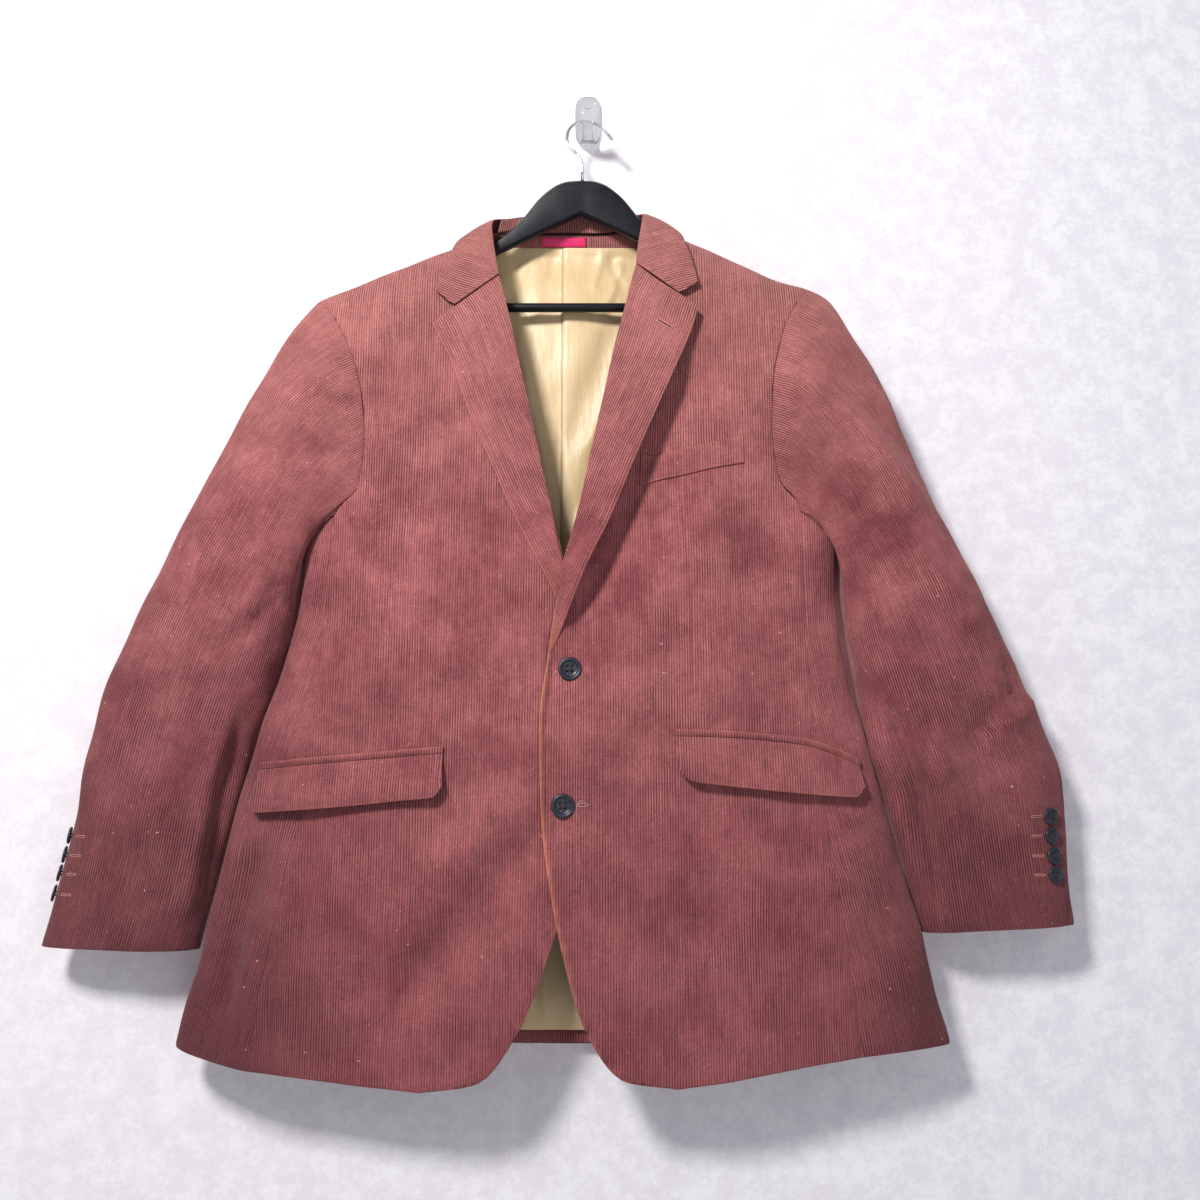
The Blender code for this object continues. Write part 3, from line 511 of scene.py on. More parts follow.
def cloth_height(x, height, face):
    """How far down the cloth from the shoulders' ridge a height is, below 0."""
    roll = ROLL[face]
    above = height - (read(RIDGE, "height", "x", x) - roll)
    turned = np.arcsin(np.clip(above / roll, 0, 1))
    return np.where(above > 0, roll * turned, above) - roll * math.pi / 2


def body_point(x, cloth, face, lift=0.0):
    """The point of the body this far down the cloth, lifted out by this much."""
    roll = ROLL[face]
    quarter = roll * math.pi / 2
    start = read(RIDGE, "height", "x", x) - roll
    turned = np.maximum(cloth + quarter, 0) / roll
    height = start + np.where(cloth > -quarter, roll * np.sin(turned), cloth + quarter)
    depth = RIDGE_DEPTH + (face_depth(x, height, face) + lift - RIDGE_DEPTH) * np.cos(turned)
    return np.stack([x, -depth, height], -1)


def placed(x, height, face="front", lift=0.0):
    """The point of the body that is seen at x and height."""
    return body_point(x, cloth_height(x, height, face), face, lift)


def normals(surface, u, v):
    """The directions square to a surface."""
    near = 0.004
    along_u = surface(u + near, v) - surface(u - near, v)
    along_v = surface(u, v + near) - surface(u, v - near)
    return unit(np.cross(along_u, along_v))


def panel(rows, face, lift=None, drop=None, gap=SEAM / 2):
    """surface(u, row) between the outer and the inner edge of a front or a back."""
    walked = dict(rows)
    for side in ("outer", "inner"):
        walked[side + "_w"] = cloth_height(walked[side + "_x"], walked[side + "_z"], face)

    def surface(u, row):
        at = read_row(walked, row)
        inset = gap * (1 - 2 * u) * np.sign(at["inner_x"] - at["outer_x"])
        x = at["outer_x"] + (at["inner_x"] - at["outer_x"]) * u + inset
        seen = cloth_height(x, at["outer_z"] + (at["inner_z"] - at["outer_z"]) * u, face)
        cloth = at["outer_w"] + (at["inner_w"] - at["outer_w"]) * u
        cloth = seen + (cloth - seen) * ease((row - STRAIGHT_ROW) / (TOP_ROW - 1 - STRAIGHT_ROW))
        if drop:
            cloth = cloth - drop(x, row)
        return body_point(x, cloth, face, lift(x) if lift else 0.0)

    return surface


def overlap_lift(x):
    """How far the left front lies out, over the right one."""
    return OVERLAP_LIFT * (1 - ease((x - OVERLAP_EDGE) / OVERLAP_REACH))


def no_lift(x):
    return 0.0 * x


def neck_drop(x):
    across = np.clip(np.abs(x - NECK_CENTRE) / NECK_HALF_WIDTH, 0, 1)
    return NECK_DROP * (1 - across**NECK_ROUNDNESS)


def back_drop(x, row):
    return neck_drop(x) * ease((row - ARM_ROW) / ARM_ROW) + SEAM * row / TOP_ROW


def front_surface(side, gap=SEAM / 2):
    return panel(FRONTS[side], "front", overlap_lift if side == "left" else None, gap=gap)


def back_surface(side, gap=SEAM / 2):
    return panel(BACKS[side], "back", drop=back_drop, gap=gap)


def ring_turn(x, height):
    """How far round the body's ring a point of its front at x is, from the left side."""
    right, left, _, _ = body_at(height)
    across = (x - (right + left) / 2) / ((left - right) / 2)
    return np.arccos(np.clip(np.sign(across) * np.abs(across) ** (SQUARENESS / 2), -1, 1))


def side_surface(side):
    """surface(u, row) round the body's side, from the front's outer edge to the back's."""
    front, back = front_surface(side, 0.0), back_surface(side, 0.0)
    rise = {"rise": np.array(SIDE_RISE[side], float)}

    def surface(u, row):
        start, end = front(0 * u, row), back(0 * u, row)
        height = start[..., 2] + (end[..., 2] - start[..., 2]) * u
        height = height + read_row(rise, row)["rise"] * 4 * u * (1 - u)
        turn = ring_turn(start[..., 0], height)
        end_turn = 2 * math.pi - ring_turn(end[..., 0], height)
        if side == "left":
            end_turn = end_turn - 2 * math.pi
        turn = turn + (end_turn - turn) * u
        right, left, fore, aft = body_at(height)
        across = np.sign(np.cos(turn)) * np.abs(np.cos(turn)) ** (2 / SQUARENESS)
        through = np.abs(np.sin(turn)) ** (2 / SQUARENESS)
        depth = SIDE_DEPTH + (np.where(np.sin(turn) > 0, fore, aft) - SIDE_DEPTH) * through
        return np.stack([(right + left) / 2 + (left - right) / 2 * across, -depth, height], -1)

    return surface


FINER = 4  # points here for each one of the solid's sleeves
ROWS_ABOVE_ARM = 11 * FINER
SIDE_COLUMNS = 6 * FINER
FRONT_SEAM = 13 * FINER  # the point of the armhole's ring where a sleeve's front seam starts
BACK_SEAM = 27 * FINER
RING_POINTS = 28 * FINER
STEPS_A_SECTION = 10


def armhole(side):
    """The armhole's points in order from the shoulder point round the front, one seam off the body."""
    front, back, under = front_surface(side, 0.0), back_surface(side, 0.0), side_surface(side)
    down = np.linspace(TOP_ROW, ARM_ROW, ROWS_ABOVE_ARM + 1)
    across = np.linspace(0, 1, SIDE_COLUMNS + 1)[1:-1]
    points = []
    for surface, row in ((front, down), (back, down[:0:-1])):
        here = surface(0 * row, row)
        points.append(here + unit(surface(0 * row - 0.01, row) - here) * SEAM)
    level = 0 * across + ARM_ROW
    out = normals(under, across, level) * (-1 if side == "right" else 1)
    points.insert(1, under(across, level) + (0, 0, SEAM) + out * UNDERARM_STEP)
    return np.concatenate(points)


def around(points):
    """How far round a closed line each point lies, from 0 to 2 pi, with the underarm at pi."""
    length = walk(points)
    close = length[-1] + np.linalg.norm(points[0] - points[-1])
    half = np.interp(ROWS_ABOVE_ARM + SIDE_COLUMNS / 2, np.arange(len(length)), length)
    return np.where(length < half, math.pi * length / half, math.pi * (1 + (length - half) / (close - half)))


def sleeve_section(side, turn, along):
    """The point of a sleeve this far round it, at a section's number, with no armhole and no body near."""
    at = read_row({**SLEEVES[side], **SLEEVE_FORM}, along)
    turn = turn + np.radians(at["twist"])
    run = np.stack([at["outer_x"] - at["inner_x"], 0 * turn, at["outer_z"] - at["inner_z"]], -1) / 2
    middle = [at["outer_x"] + at["inner_x"], -2 * at["depth"], at["outer_z"] + at["inner_z"]]
    middle = np.stack(middle, -1) / 2
    flat = 2 / SLEEVE_SQUARENESS
    across = np.sign(np.cos(turn)) * np.abs(np.cos(turn)) ** flat
    through = np.sign(np.sin(turn)) * np.abs(np.sin(turn)) ** flat
    reach = unit(run)
    to_body = reach[..., [2, 1, 0]] * ((1, 0, -1) if side == "right" else (-1, 0, 1))
    forward = np.array((0.0, -1.0, 0.0))
    bend = (at["bow"] * np.sin(turn) ** 2)[..., None] * to_body
    return middle + run * across[..., None] + forward * (at["half"] * through)[..., None] + bend


def hung_outside(points, room):
    """The points, with those below the armhole moved out to leave this room round the body."""
    height = points[..., 2]
    right, left, front, back = body_at(height)
    depth = -points[..., 1] - SIDE_DEPTH
    half, deep = (left - right) / 2, np.where(depth > 0, front - SIDE_DEPTH, SIDE_DEPTH - back)
    across, through = (points[..., 0] - (right + left) / 2) / half, depth / deep
    size = (np.abs(across) ** SQUARENESS + np.abs(through) ** SQUARENESS) ** (1 / SQUARENESS)
    power = SQUARENESS - 1
    steep_x = np.sign(across) * np.abs(across / size) ** power / half
    steep_y = -np.sign(through) * np.abs(through / size) ** power / deep
    steep = np.stack([steep_x, steep_y, 0 * size], -1)
    distance = (size - 1) / np.linalg.norm(steep, axis=-1)
    push = np.maximum(room - distance, 0) * ease((UNDERARM - height) / UNDERARM_BLEND)
    return points + unit(steep) * push[..., None]


def sleeve_surface(side, first, last):
    """surface(u, section) of the stretch of the sleeve between two seams."""
    ring = armhole(side)
    along = np.linspace(0, SECTIONS, SECTIONS * STEPS_A_SECTION + 1)
    turns, sections = np.meshgrid(around(ring), along)
    grid = sleeve_section(side, turns, sections)
    start = ring - grid[0]
    grid = grid + start * (np.clip(1 - sections / ARMHOLE_BLEND, 0, 1) ** 2)[..., None]
    grid = hung_outside(grid, SLEEVE_ROOM * np.clip(sections * ROOM_SLOPE, 0, 1))
    grid = grid[:, np.arange(first, last + 1) % grid.shape[1]]

    def surface(u, section):
        column = np.clip(u, 0, 1) * (grid.shape[1] - 1)
        row = np.clip(section, 0, SECTIONS) * STEPS_A_SECTION
        c = np.minimum(column.astype(int), grid.shape[1] - 2)
        r = np.minimum(row.astype(int), len(grid) - 2)
        s, t = (column - c)[..., None], (row - r)[..., None]
        upper = grid[r, c] * (1 - s) + grid[r, c + 1] * s
        lower = grid[r + 1, c] * (1 - s) + grid[r + 1, c + 1] * s
        return upper * (1 - t) + lower * t

    return surface


def lapel_surface(side):
    """surface(u, row) from a lapel's outer edge to its roll line."""
    over = overlap_lift if side == "left" else no_lift

    def surface(u, row):
        at = read_row(LAPELS[side], row)
        x = at["outer_x"] + (at["inner_x"] - at["outer_x"]) * u
        height = at["outer_z"] + (at["inner_z"] - at["outer_z"]) * u
        rolled = LAPEL_LIFT[side] * ease(1 - u) * ease(row / LAPEL_FOOT + LAPEL_FOOT_SHARE)
        return placed(x, height, lift=over(x) + (rolled - LAPEL_FOOT_DIP * (1 - ease(row))))

    return surface


def collar_surface(station, u):
    """The collar's fall, from the fold at u = 0 to its outer edge at u = 1. station is from 0 to 1."""
    at = read_row(COLLAR, station * last_row(COLLAR))
    fold = np.stack([at["fold_x"], -at["fold_depth"], at["fold_z"]], -1)
    edge = np.stack([at["edge_x"], -at["edge_depth"], at["edge_z"]], -1)
    point = fold + (edge - fold) * u[..., None]
    bend = at["bend"] * np.where(u < NOTCH, u / NOTCH, (1 - u) / (1 - NOTCH))
    crown = COLLAR_CROWN * 4 * u * (1 - u)
    point = point + unit(point - (CENTRE_BACK, -RIDGE_DEPTH, NECK_HEIGHT)) * crown[..., None]
    return point + np.stack([0 * bend, 0 * bend, bend], -1)


def neck_edge(x, down):
    """A point of the back, this far down the cloth from the neck's edge."""
    return body_point(x, -neck_drop(x) - down, "back")


def stand_surface(station, u):
    """The collar stand, from its foot on the back neck to its top. station is from 0 to 1."""
    at = read_row(STAND, station * last_row(STAND))
    out = unit(np.cross(neck_edge(at["low_x"], 1) - neck_edge(at["low_x"], 0), (1.0, 0.0, 0.0)))
    low = neck_edge(at["low_x"], 0) + out * CLOTH + (0, 0, STAND_RISE)
    top = np.stack([at["top_x"], -at["top_depth"], at["top_z"]], -1)
    return low + (top - low) * u[..., None]


def between_sides(piece, u):
    return piece["right"] + (piece["left"] - piece["right"]) * u


def facing_surface(u, v):
    x = between_sides(FACING, u)
    top = -neck_drop(x) - FACING["below_edge"]
    foot = cloth_height(x, FACING["foot"], "back")
    return body_point(x, foot + (top - foot) * v, "back")


def lining_surface(u, row):
    at = read_row(LINING, row)
    return placed(between_sides(at, u), at["height"] + 0 * u, "back")


def hem_surface(u, v):
    height = HEM_FACING["top"] + (HEM_FACING["foot"] - HEM_FACING["top"]) * v
    return placed(between_sides(HEM_FACING, u), height, "back")


def label_surface(u, v):
    height = LABEL["foot"] + (LABEL["top"] - LABEL["foot"]) * v
    return placed(between_sides(LABEL, u), height, "back")


def pocket_surface(rows, over, shift=0.0, height=None):
    """surface(share, v) from a flap's top edge to its foot, or down a strip of this height."""

    def surface(share, v):
        at = read_row(rows, share * last_row(rows))
        foot_x, foot_z, lift = at["foot_x"], at["foot_z"], FLAP_LIFT
        if height is not None:
            foot_x, foot_z, lift = at["top_x"], at["top_z"] - height, 0.0
        x = at["top_x"] + (foot_x - at["top_x"]) * v
        z = at["top_z"] + (foot_z - at["top_z"]) * v + shift
        return placed(x, z, lift=over(x) + lift * ease(v))

    return surface


# --- Folds ------------------------------------------------------------------------------------
# Each fold is a line of (x, z) points with a height out of the cloth, below 0 for a trough, and a width.

BODY_FOLDS = {
    "front": (
        (-4.4, 17, ((-25, -674), (-66, -721), (-102, -767), (-138, -812), (-172, -866))),
        (2.6, 20, ((-48, -655), (-98, -704), (-139, -751), (-188, -802))),
        (2.0, 18, ((-32, -747), (-67, -796), (-96, -844))),
        (-4.4, 12, ((-268, -690), (-288, -724), (-299, -773), (-307, -822), (-314, -866))),
        (2.2, 11, ((-250, -690), (-258, -739), (-266, -800))),
        (-1.6, 10, ((-226, -692), (-234, -724), (-243, -765))),
        (-0.6, 2.5, ((-170, -520), (-127, -522), (-83, -524), (-40, -527))),
        (-2.0, 16, ((-168, -240), (-178, -284), (-190, -330))),
        (1.2, 14, ((-208, -402), (-173, -438), (-137, -456))),
        (-1.6, 18, ((118, -238), (108, -300), (101, -352))),
        (-1.5, 7, ((203, -700), (213, -712), (221, -728))),
        (-1.5, 7, ((206, -742), (218, -749), (232, -748))),
        (1.4, 8, ((204, -722), (216, -728), (230, -736))),
        (2.2, 24, ((180, -748), (131, -700), (92, -722))),
        (-2.4, 22, ((97, -672), (116, -736), (90, -800))),
        (1.4, 20, ((30, -720), (46, -800), (70, -870))),
        (-1.4, 20, ((-60, -560), (-120, -590), (-200, -600))),
        (1.2, 26, ((110, -430), (118, -520), (112, -590))),
        (-1.2, 22, ((160, -420), (150, -500), (160, -580))),
        (-0.45, 1.6, ((-128, -445), (-130, -506), (-131.5, -570), (-132, -622))),
        (-0.45, 1.6, ((86, -398), (92, -504), (93.6, -604))),
        (-0.5, 2.5, ((50, -356.5), (95, -347.5), (141, -339.5))),
        (-0.5, 2.5, ((-281, -631), (-200, -623.5), (-122, -617))),
        (-0.5, 2.5, ((77, -602.5), (150, -606), (190, -610.5), (226, -623), (235, -628))),
        (-0.65, 1.7, ((-283, -638.4), (-240, -634.4), (-200, -630.9), (-121, -624.5))),
        (-0.65, 1.7, ((75, -609.9), (115, -610.9), (150, -613.4), (190, -617.9), (226, -630.4), (236, -636))),
    ),
    "back": (
        (-1.3, 16, ((-150, -250), (-120, -330), (-100, -420))),
        (-1.3, 16, ((110, -245), (80, -330), (60, -420))),
        (1.6, 22, ((-200, -560), (-212, -700), (-225, -860))),
        (-1.4, 18, ((-150, -600), (-160, -720), (-168, -860))),
        (1.6, 20, ((-90, -640), (-96, -760), (-100, -868))),
        (-1.4, 18, ((60, -600), (66, -720), (74, -860))),
        (1.8, 22, ((130, -590), (146, -700), (160, -860))),
        (1.2, 14, ((-205, -430), (-140, -470), (-60, -480))),
        (-1.2, 12, ((185, -440), (120, -486), (40, -500))),
        (-1.2, 12, ((-215, -480), (-150, -520), (-80, -530))),
    ),
}
SLEEVE_FOLDS = {
    "right": {
        "front": (
            (1.6, 5, ((-258, -268), (-243, -288), (-228, -302), (-206, -306))),
            (-1.8, 6, ((-246, -300), (-226, -314), (-206, -318))),
            (1.3, 5, ((-296, -290), (-280, -302), (-262, -312))),
            (-1.5, 8, ((-300, -304), (-280, -318), (-256, -330))),
            (-1.8, 9, ((-345, -528), (-322, -538), (-300, -518), (-275, -488), (-255, -470))),
            (1.6, 5, ((-300, -505), (-280, -492), (-262, -480))),
            (1.6, 9, ((-278, -452), (-288, -484), (-308, -510))),
            (-1.4, 14, ((-330, -420), (-305, -440), (-285, -430))),
            (1.5, 16, ((-300, -350), (-318, -400), (-345, -450))),
            (-1.6, 16, ((-400, -560), (-375, -600), (-372, -650))),
            (3.2, 10, ((-312, -590), (-328, -654), (-339, -712), (-348, -778))),
            (-3.4, 9, ((-296, -580), (-314, -647), (-324, -707), (-331, -770))),
            (1.4, 16, ((-420, -640), (-415, -700), (-425, -760))),
            (-1.5, 14, ((-385, -690), (-385, -730), (-392, -775))),
        ),
        "back": (
            (-2.2, 10, ((-345, -480), (-315, -500), (-290, -520))),
            (1.8, 12, ((-370, -520), (-335, -535), (-305, -555))),
            (-1.8, 12, ((-400, -580), (-365, -590), (-325, -600))),
            (1.6, 14, ((-300, -330), (-290, -400), (-285, -450))),
            (-1.6, 14, ((-385, -640), (-395, -710), (-410, -775))),
        ),
    },
    "left": {
        "front": (
            (-4.6, 9, ((262, -570), (280, -625), (290, -665), (300, -712), (307, -765))),
            (2.6, 11, ((250, -590), (268, -680), (284, -752))),
            (3.0, 11, ((298, -600), (314, -664), (324, -730))),
            (3.2, 7, ((398, -577), (378, -588), (358, -604), (338, -624))),
            (-3.6, 7, ((392, -562), (368, -580), (348, -600), (332, -612))),
            (-2.0, 8, ((368, -540), (378, -556), (390, -572))),
            (-1.8, 6, ((170, -270), (184, -275), (200, -277))),
            (-1.6, 6, ((186, -222), (200, -230), (214, -242))),
            (2.4, 13, ((186, -278), (226, -312), (270, -366), (312, -424))),
            (-2.4, 15, ((178, -366), (206, -394), (237, -438), (262, -500))),
            (2.0, 13, ((222, -344), (262, -404), (300, -456), (334, -508))),
            (-1.6, 12, ((250, -300), (290, -352), (322, -420))),
            (-1.6, 16, ((330, -560), (350, -640), (372, -700))),
            (1.4, 14, ((380, -650), (392, -700), (396, -760))),
            (-1.1, 3.2, ((422, -700), (420, -740), (419, -782))),
        ),
        "back": (
            (-2.2, 10, ((325, -500), (295, -515), (260, -530))),
            (1.8, 12, ((350, -540), (310, -550), (275, -560))),
            (-1.8, 12, ((375, -590), (335, -598), (290, -605))),
            (1.6, 14, ((265, -320), (262, -390), (258, -440))),
            (-1.6, 14, ((350, -640), (362, -700), (372, -760))),
        ),
    },
}
WAVES = (  # slow unevenness all over: height, the number of waves per metre along x and z, and a phase
    (0.35, 5.1, 3.3, 0.4),
    (0.3, -7.4, 4.2, 1.9),
    (0.28, 9.3, -6.1, 3.1),
    (0.22, 2.2, 11.7, 5.0),
    (0.14, 17.0, 8.0, 2.2),
    (0.12, -13.0, 19.0, 0.9),
)
LAPEL_HOLLOW = (  # the left front falls away beside its lapel, which bridges this
    (-12.0, 11, ((-14, -540), (-4, -500), (15, -464), (36, -420), (58, -366), (81, -312), (103, -262))),
    (-8.0, 25, ((6, -575), (18, -510), (38, -464), (59, -420), (81, -366), (102, -318))),
)
EDGE_GROOVE = (  # and beside its edge, whose rubbed colour is partly a painted highlight
    (-6.0, 4.2, ((-21, -498), (-27.5, -540), (-34, -600), (-33.5, -640), (-32, -675), (-27, -720))),
    (-2.4, 9, ((-10, -498), (-17, -540), (-23, -600), (-23, -640), (-21, -675), (-17, -720))),
)
SATIN_FOLDS = (  # on the lining, which is seen in the neck
    (1.6, 7, ((-90, -146), (-83, -170), (-84, -200))),
    (-1.2, 5, ((-72, -150), (-66, -176), (-70, -212))),
    (1.4, 8, ((-52, -144), (-50, -176), (-44, -218))),
    (-1.2, 4, ((-34, -142), (-33, -156), (-34, -176))),
    (1.2, 3.5, ((16, -141), (12, -158), (4, -186))),
    (-1.4, 4, ((24, -141), (24, -158), (33, -184))),
    (1.3, 4, ((34, -150), (26, -182), (13, -214))),
    (1.4, 6, ((-64, -214), (-58, -262), (-54, -310))),
    (-1.4, 6, ((-74, -240), (-62, -300), (-48, -352), (-36, -384))),
    (1.7, 7, ((-52, -300), (-40, -352), (-32, -420))),
    (-1.6, 9, ((24, -216), (6, -268), (-12, -318), (-20, -352))),
    (1.7, 7, ((34, -252), (16, -306), (-4, -352))),
    (-1.5, 7, ((20, -322), (4, -362), (-10, -412))),
    (1.3, 6, ((0, -392), (-10, -436), (-16, -480))),
    (2.2, 7, ((-110, -500), (-80, -620), (-60, -740))),
    (2.0, 7, ((40, -520), (30, -660), (44, -800))),
    (1.8, 5, ((-66, -800), (-60, -830), (-64, -862))),
    (1.8, 5, ((-36, -790), (-38, -826), (-34, -862))),
    (1.6, 5, ((-10, -800), (-6, -836), (-10, -862))),
    (7.0, 30, ((-70, -842), (-30, -838), (20, -842))),
)
WAVE_SLANT = 1.7  # how much further a wave gets with depth than with height
METRE = 1000.0
FRONT_FROM = 26.0  # off the wall, where the front's folds begin to take over from the back's
FRONT_BLEND = 30.0
FOLD_END = 0.22  # of a fold's length, over which it rises at both ends
FOLD_START = 0.12  # of that rise, where a fold begins
ARMHOLE_FADE = 22.0  # from the armhole to where a sleeve's folds are whole
SATIN_DEPTH = 1.5  # times the heights in the table of the lining's folds
PLEAT = {"x": -24.0, "step": 3.0, "turn": 1.2, "width": 60.0, "foot": -900.0, "fade": 300.0}
SLACK = {  # how far the lining hangs off the back behind the opening, and where
    "depth": 9.0,
    "x": -15.0,
    "half_width": 80.0,
    "top": -146.0,
    "top_fade": 70.0,
    "foot": -640.0,
    "foot_fade": 160.0,
}


def along_folds(folds, points):
    """The height of these folds at each point."""
    x, z = points[..., 0], points[..., 2]
    total = np.zeros_like(x)
    for height, width, line in folds:
        line = np.array(line, float)
        run = np.diff(line, axis=0)
        lengths = np.linalg.norm(run, axis=1)
        walked = walk(line)
        nearest = np.full_like(x, np.inf)
        share = np.zeros_like(x)
        for start, step, length, before in zip(line, run, lengths, walked):
            t = np.clip(((x - start[0]) * step[0] + (z - start[1]) * step[1]) / length**2, 0, 1)
            away = np.hypot(x - start[0] - step[0] * t, z - start[1] - step[1] * t)
            closer = away < nearest
            nearest = np.where(closer, away, nearest)
            share = np.where(closer, (before + length * t) / walked[-1], share)
        taper = ease(share / FOLD_END + FOLD_START) * ease((1 - share) / FOLD_END + FOLD_START)
        total += height * taper * np.exp(-((nearest / width) ** 2))
    return total


def in_front(points):
    """1 on the jacket's front, 0 on its back, and between them round its sides."""
    return ease((-points[..., 1] - FRONT_FROM) / FRONT_BLEND)


def fold_height(folds, points):
    """How far the cloth stands out at these points of the solids' surface."""
    x, depth, z = points[..., 0], -points[..., 1], points[..., 2]
    fore = in_front(points)
    height = fore * along_folds(folds["front"], points) + (1 - fore) * along_folds(folds["back"], points)
    for size, across, down, phase in WAVES:
        turn = 2 * math.pi * (x * across + z * down + WAVE_SLANT * depth * down) / METRE
        height = height + size * np.sin(turn + phase)
    return FOLD_DEPTH * height * (fore + (1 - fore) * BACK_FOLDS)


def front_only(folds, points):
    return in_front(points) * along_folds(folds, points)


def lapel_lift(points):
    """The fold height under the lapels and the collar, which bridge the hollow beside the left lapel."""
    return fold_height(BODY_FOLDS, points) + front_only(EDGE_GROOVE, points)


def body_lift(points):
    return lapel_lift(points) + front_only(LAPEL_HOLLOW, points)


def inside_lift(points):
    """The pieces inside the back follow it."""
    return -body_lift(points)


def satin_lift(points):
    """Loose folds of the lining, and the pleat down its middle."""
    x, z = points[..., 0], points[..., 2]
    folds = SATIN_DEPTH * along_folds(SATIN_FOLDS, points)
    past = x - PLEAT["x"]
    pleat = PLEAT["step"] * ease(past / PLEAT["turn"]) * (1 - ease((past - PLEAT["turn"]) / PLEAT["width"]))
    slack = np.exp(-(((x - SLACK["x"]) / SLACK["half_width"]) ** 2))
    slack = slack * ease((SLACK["top"] - z) / SLACK["top_fade"])
    slack = slack * ease((z - SLACK["foot"]) / SLACK["foot_fade"])
    hung = folds + pleat * ease((z - PLEAT["foot"]) / PLEAT["fade"]) + SLACK["depth"] * slack
    return hung - lapel_lift(points)


def sleeve_lift(side):
    """The folds of a sleeve, which fade out towards the armhole."""
    ring = armhole(side)[:, None]

    def lift(points):
        away = np.linalg.norm(points - ring, axis=-1).min(0)
        return fold_height(SLEEVE_FOLDS[side], points) * ease((away - 1) / ARMHOLE_FADE)

    return lift


# --- Shells -----------------------------------------------------------------------------------

MESH_ROWS = {  # even rows of faces in each kind of piece
    "front": 88,
    "back": 92,
    "side_panel": 58,
    "sleeve": 72,
    "lapel": 44,
    "collar": 9,
    "stand": 3,
    "neck_facing": 4,
    "hem_facing": 2,
    "lining": 104,
    "label": 10,
    "flap": 6,
    "jet": 2,
    "welt": 4,
}
STATIONS = 97  # points across a surface, on which its rows are measured
NEAR_END = (0.0, 0.14, 0.42)  # of a row's height, where the first rows lie
LINE_MARGIN = 0.12  # between a line of a rib and the edge of the cloth, at least
SAME_LINE = 1e-3
RIM_TURNS = (50, 90, 130)  # degrees round the rim
CHEST = {"right": -330, "left": 300, "points": 400, "height": -520.0}  # the ring on which x is measured
MAP_SHARE = 0.94  # of the bake map's width, which a face fills
MAP_EDGE = 0.03
MAP_RIM = 0.499  # from a face's middle, beyond which its vertices are on the rim
RIM_STEP = 0.004  # between the rings of the rim on the bake map
FACE_PART = 0.8  # of the bake map's height
INSIDE_START = 0.84
INSIDE_PART = 0.14


def close_rows(kind, last=1):
    """Row numbers from 0 to last, with extra ones close to both ends, where the cloth rolls over."""
    even = np.linspace(0, last, MESH_ROWS[kind] + 1)
    near = even[1] * np.array(NEAR_END)
    return np.concatenate([near, even[1:-1], last - near[::-1]])


def from_middle(points):
    """Distance across the cloth from the middle of each row, so that ribs run down the middle."""
    walked = np.linalg.norm(np.diff(points, axis=1), axis=-1).cumsum(1)
    walked = np.concatenate([0 * walked[:, :1], walked], axis=1)
    return walked - walked[:, -1:] / 2


def from_edge(points):
    """Distance across the cloth from its first edge, so that ribs run beside that edge."""
    middle = from_middle(points)
    return middle - middle[:, :1]


def from_front(points):
    """Distance round the body at chest height, so that ribs hang straight down."""
    x = np.linspace(CHEST["right"], CHEST["left"], CHEST["points"])
    return np.interp(points[..., 0], x, walk(placed(x, 0 * x + CHEST["height"])))


def lines_across(along, inset, spacing):
    """Where lines at multiples of spacing meet one row, with both its edges: (lines, positions)."""
    low, high = along[0] + inset, along[-1] - inset
    first, last = math.ceil((low + LINE_MARGIN) / spacing), math.floor((high - LINE_MARGIN) / spacing)
    lines = np.arange(first, last + 1)
    return lines, np.concatenate([[low], lines * spacing, [high]])


def zip_rows(one, one_keys, two, two_keys, faces):
    """Adds the faces between two rows of vertices that are sorted by the same key."""
    i = j = 0
    ends = len(one) - 1, len(two) - 1
    while i < ends[0] or j < ends[1]:
        if i < ends[0] and j < ends[1] and abs(one_keys[i + 1] - two_keys[j + 1]) < SAME_LINE:
            faces.append((one[i], one[i + 1], two[j + 1], two[j]))
            i, j = i + 1, j + 1
        elif j == ends[1] or (i < ends[0] and one_keys[i + 1] < two_keys[j + 1]):
            faces.append((one[i], one[i + 1], two[j]))
            i += 1
        else:
            faces.append((one[i], two[j + 1], two[j]))
            j += 1


def strips(ids, keys):
    """The faces between each row of vertices and the next."""
    rows = [(np.asarray(row).tolist(), places.tolist()) for row, places in zip(ids, keys)]
    faces = []
    for one, two in zip(rows, rows[1:]):
        zip_rows(*one, *two, faces)
    return faces


def lay_out(surface, rows, grain, inset, spacing):
    """The vertices of a face, row by row, with one where each line of a rib meets the row."""
    stations = np.linspace(0, 1, STATIONS)
    grid = surface(*np.meshgrid(stations, rows))
    along = grain(grid)
    if along[0, -1] < along[0, 0]:
        along = -along
    keys, ids, u, v, down, numbers = [], [], [], [], [], []
    count = 0
    for row, across, distance in zip(rows, along, walk(grid[:, STATIONS // 2])):
        lines, places = lines_across(across, inset, spacing)
        keys.append(places)
        ids.append(np.arange(count, count + len(places)))
        count += len(places)
        u.append(np.interp(places, across, stations))
        v.append(np.full(len(places), row))
        down.append(np.full(len(places), distance))
        numbers.append(np.concatenate([[lines[0] - 1], lines, [lines[-1] + 1]]))
    to_first = np.concatenate([places - places[0] for places in keys])
    to_last = np.concatenate([places[-1] - places for places in keys])
    u, v, down, number, key = (np.concatenate(a) for a in (u, v, down, numbers, keys))
    to_edges = np.stack([to_first, to_last, down, down[-1] - down])
    shape = {"u": u, "v": v, "key": key, "number": number, "down": down, "to_edges": to_edges}
    return SimpleNamespace(ids=ids, keys=keys, **shape)


